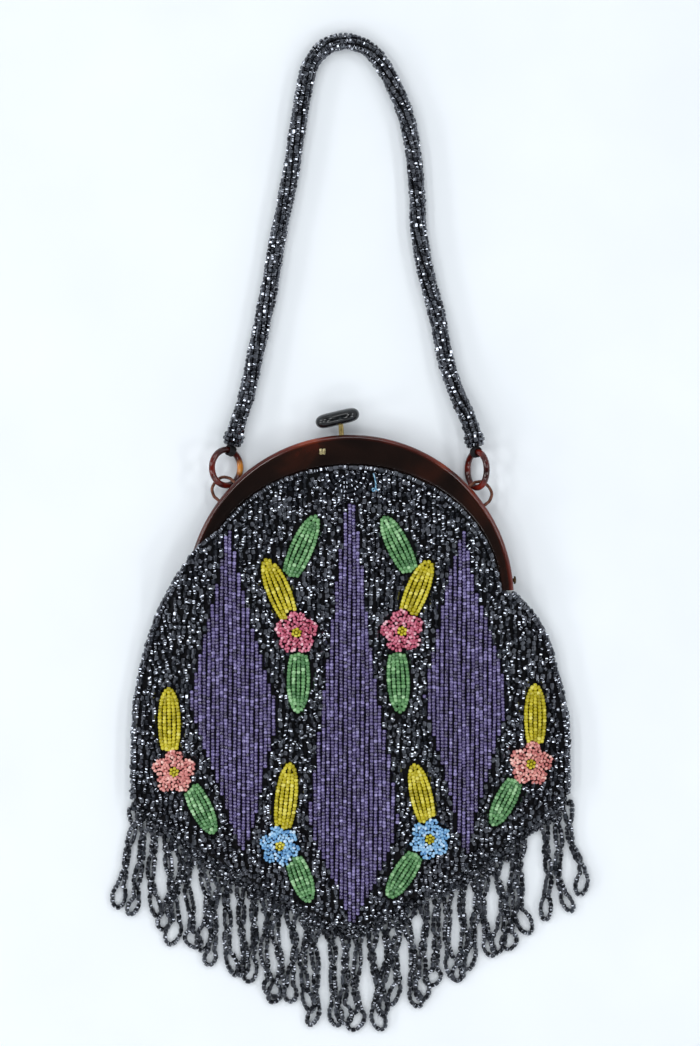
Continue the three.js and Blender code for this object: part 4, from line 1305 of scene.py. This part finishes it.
def frame_half(outer, face_z, rim_z):
    """One half of the crescent frame, its section swept from arm to arm."""
    inward = 1 if rim_z > face_z else -1
    rings = []
    for angle in np.linspace(-ARM_ANGLE, ARM_ANGLE, FRAME_STEPS):
        section = frame_section(angle, outer, abs(rim_z - face_z))
        rings.append([polar(angle, reach, face_z + inward * depth) for reach, depth in section])
    return skin(rings)


def hinge_blocks(row):
    """A pair of blocks on the arms of a frame half, for the hinge pins."""
    return [block((side * row["x"], HINGE_Y, row["z"]), row["size"]) for side in (-1, 1)]


def hinge_pin(hanger):
    """A pin through the lug and the tongue, with a rounded head outside."""
    return turned(HINGE_PROFILE, (0.0, HINGE_Y, HINGE_Z), (hanger["side"], 0.0, 0.0))


def wire_eye(hanger):
    """A wire staple on the frame's rim."""
    line = smooth_line([(-across, out) for across, out in EYE_ROUTE] + EYE_ROUTE[-2::-1], 10)
    z = EYE_Z - hanger["droop"] * smoothstep(line[:, 1], EYE_DROOPS_FROM, EYE_DROOPS_TO)
    line = polar(hanger["eye"], FRONT_RADIUS + line[:, 1], z) + polar(hanger["eye"] + 90, line[:, 0])
    return tube(line, EYE_WIRE)


def carrying_ring(hanger):
    """A plain round ring that leans on the eye."""
    through = ring_axes(hanger)[2]
    return tube(ring_points(hanger, np.arange(0, 360, 5)), RING_WIRE, 18, through, loop=True)


def clasp_place(reach, across=0.0):
    """A point on the clasp's line, by its distance from the arc's centre and across that line."""
    return polar(CLASP_ANGLE, reach, CLASP_Z) + polar(CLASP_ANGLE + 90, across)


def clasp_stem():
    """A turned stem with a flat foot inside the frame."""
    stem = turned(STEM_PROFILE, (0.0, 0.0, CLASP_Z), polar(CLASP_ANGLE, 1.0))
    corners, faces = block((0.0, 0.0, 0.0), STEM_FOOT, 0.2)
    return together(stem, (corners @ spin(-CLASP_ANGLE) + clasp_place(STEM_FOOT_REACH), faces))


def clasp_knob():
    """An oblong cushion with blunt ends, rounded across, tilted on its stem."""
    half_long, half_thick, half_deep = KNOB_HALF
    angle = np.linspace(0, 2 * np.pi, KNOB_SIDES, endpoint=False)
    outline_x = np.sign(np.cos(angle)) * np.abs(np.cos(angle)) ** 0.7
    outline_z = np.sign(np.sin(angle)) * np.abs(np.sin(angle)) ** 0.9
    rings = []
    for turn in np.linspace(-0.5, 0.5, KNOB_RINGS) * np.pi:
        waist = max(math.cos(turn), 0.001)
        x, z = half_long * waist**0.36 * outline_x, half_deep * waist**0.75 * outline_z
        rings.append(np.column_stack([x, np.full(KNOB_SIDES, half_thick * math.sin(turn)), z]))
    corners, faces = skin(rings)
    return corners @ spin(KNOB_TILT) + clasp_place(KNOB_REACH, KNOB_ACROSS), faces


def catch_rivet():
    """A split rivet: a shank with a foot below the plate and two small pads bent flat on the face."""
    x, y = RIVET_XY
    shank = turned(RIVET_PROFILE, (x, y, 0.0), UP)
    pads = [block((x + side * RIVET_PAD_OUT, y, RIVET_PAD_Z), RIVET_PAD, 0.22) for side in (-1, 1)]
    return together(shank, *pads)


# Assembly

front_sheet = cloth_sheet(FRONT_OUTLINE, front_face, FRONT_CLOTH_DROPS)
cloth_front = new_piece("front_backing_cloth", front_sheet, cotton)
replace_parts(cloth_front, "pouch_front")
back_sheet = cloth_sheet(BACK_OUTLINE, back_face, BACK_CLOTH_DROPS)
cloth_back = new_piece("back_backing_cloth", back_sheet, cotton)
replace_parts(cloth_back, "pouch_back")

bead_piece("ground_beads", CUT_SHAPE, black_field(), gunmetal_glass, CUT_BEAD_CREASE)
for name, spots in diamond_spots.items():
    lot = on_front(spots, (0.0, 1.0), SEED_BEAD, DIAMOND_SINK)
    bead_piece(f"diamond_{name}_beads", SEED_SHAPE, [lot], purple_glass)
for name, items, make, glass in (
    ("green_leaf_beads", GREEN_LEAVES, leaf_beads, green_glass),
    ("yellow_leaf_beads", YELLOW_LEAVES, leaf_beads, yellow_glass),
    ("crimson_flower_beads", CRIMSON_FLOWERS, flower_beads, crimson_glass),
    ("salmon_flower_beads", SALMON_FLOWERS, flower_beads, salmon_glass),
    ("blue_flower_beads", BLUE_FLOWERS, flower_beads, blue_glass),
    ("flower_centre_beads", FLOWERS, flower_centre, yellow_glass),
):
    bead_piece(name, SEED_SHAPE, [make(item) for item in items], glass)
bead_piece("seam_beads", CUT_SHAPE, seam_beads(), gunmetal_glass, CUT_BEAD_CREASE)
bead_piece("back_ground_beads", PLAIN_SHAPE, [back_beads()], back_glass, CUT_BEAD_CREASE)

mending_spots = smooth_line(MENDING_ROUTE, 8)
mending_line = at_height(mending_spots, front_face.at(mending_spots)[0] + MENDING_LIFT)
new_piece("mending_thread", tube(mending_line, MENDING_THREAD, 8), repair_thread)

front_solid = together(frame_half(FRONT_RADIUS, FRONT_FACE_Z, FRONT_RIM_Z), *hinge_blocks(HINGE_LUG))
back_solid = together(frame_half(BACK_RADIUS, BACK_FACE_Z, BACK_RIM_Z), *hinge_blocks(HINGE_TONGUE))
front_half = new_piece("front_half_of_frame", front_solid, celluloid, crease=FRAME_CREASE)
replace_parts(front_half, "frame_front")
back_half = new_piece("back_half_of_frame", back_solid, celluloid, crease=FRAME_CREASE)
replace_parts(back_half, "frame_back")
for name, hanger in HANGERS.items():
    for piece_name, node, make, finish, slot in (
        ("hinge_rivet", "hinge_pin", hinge_pin, dull_brass, "brass"),
        ("wire_eye", "eye", wire_eye, wire_bronze, "bronze_wire"),
        ("carrying_ring", "ring", carrying_ring, ring_celluloid, "ring_celluloid"),
    ):
        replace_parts(new_piece(f"{name}_{piece_name}", make(hanger), finish), f"{node}_{name}")
    new_piece(f"{name}_tie_thread", tie_threads(hanger), black_thread)
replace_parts(new_piece("catch_rivet_head", catch_rivet(), pale_brass), "catch_rivet")
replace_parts(new_piece("button_stem", clasp_stem(), brass, "clasp_button"), "clasp_stem")
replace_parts(new_piece("button_knob", clasp_knob(), knob_celluloid, "clasp_button"), "clasp_knob")

new_piece("rope_core_thread", tube(rope_line(), ROPE_CORE, 10), black_thread)
rope = bead_piece("rope_beads", CUT_SHAPE, rope_beads(), gunmetal_glass, CUT_BEAD_CREASE)
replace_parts(rope, "handle")
# The fringe takes the copy of the gunmetal glass that is painted darker as painted shade
fringe = bead_piece("fringe_beads", CUT_SHAPE, fringe_beads(), fringe_glass_painted_darker, CUT_BEAD_CREASE)
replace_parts(fringe, "fringe")

# Floor, camera and light

board_corners = [(x * BOARD_HALF, y * BOARD_HALF, BOARD_Z) for x, y in ((-1, -1), (1, -1), (1, 1), (-1, 1))]
board_mesh = bpy.data.meshes.new("studio_board")
board_mesh.from_pydata(board_corners, [], [(0, 1, 2, 3)])
board_mesh.materials.append(white_board())
board = bpy.data.objects.new("studio_board", board_mesh)
bpy.context.scene.collection.objects.link(board)

camera_data = bpy.data.cameras.new("photo_camera")
camera_data.lens = camera_data.sensor_width * CAMERA_HEIGHT / (IMAGE_ROWS * PIXEL)
camera = bpy.data.objects.new("photo_camera", camera_data)
camera.location = (0.0, VIEW_MIDDLE_Y * MM, (CAMERA_HEIGHT + PURSE_MIDDLE_Z) * MM)
bpy.context.scene.collection.objects.link(camera)
bpy.context.scene.camera = camera


def strip_light(name, place, turn, size, power):
    """A studio strip light, turned to the purse."""
    data = bpy.data.lights.new(name, "AREA")
    data.shape = "RECTANGLE"
    data.size, data.size_y = size
    data.energy = power
    data.color = linear(LIGHT_COLOUR)[:3]
    light = bpy.data.objects.new(name, data)
    light.location = place
    light.rotation_euler = turn
    bpy.context.scene.collection.objects.link(light)


for angle, width in ARCH_STRIPS:
    turn = math.radians(angle)
    for row, y in ARCH_ROWS:
        place = (ARCH_REACH * math.sin(turn), y, ARCH_REACH * math.cos(turn))
        size = (width, ARCH_LENGTH)
        strip_light(f"{row}_strip_at_{angle}", place, (0.0, turn, 0.0), size, ARCH_POWER * width)
for name, y in END_STRIPS:
    strip_light(name, (0.0, y, END_HEIGHT), (-math.atan2(y, END_HEIGHT), 0.0, 0.0), END_SIZE, END_POWER)

world = bpy.data.worlds.new("pale_room")
bpy.context.scene.world = world
world.use_nodes = True
background = world.node_tree.nodes["Background"]
background.inputs["Strength"].default_value = ROOM_STRENGTH
sky = add_node(world.node_tree, "TexCoord")
height = add_node(world.node_tree, "SeparateXYZ", links={"Vector": sky.outputs["Generated"]})
walls = add_node(
    world.node_tree, "ValToRGB", links={"Fac": height.outputs["Z"]},
    stops=[(0.0, "#f6faff"), (0.42, "#d8dce0"), (0.78, "#5a5c5f"), (1.0, "#46484a")],
)
world.node_tree.links.new(walls.outputs["Color"], background.inputs["Color"])
bpy.context.scene.view_settings.view_transform = "Standard"
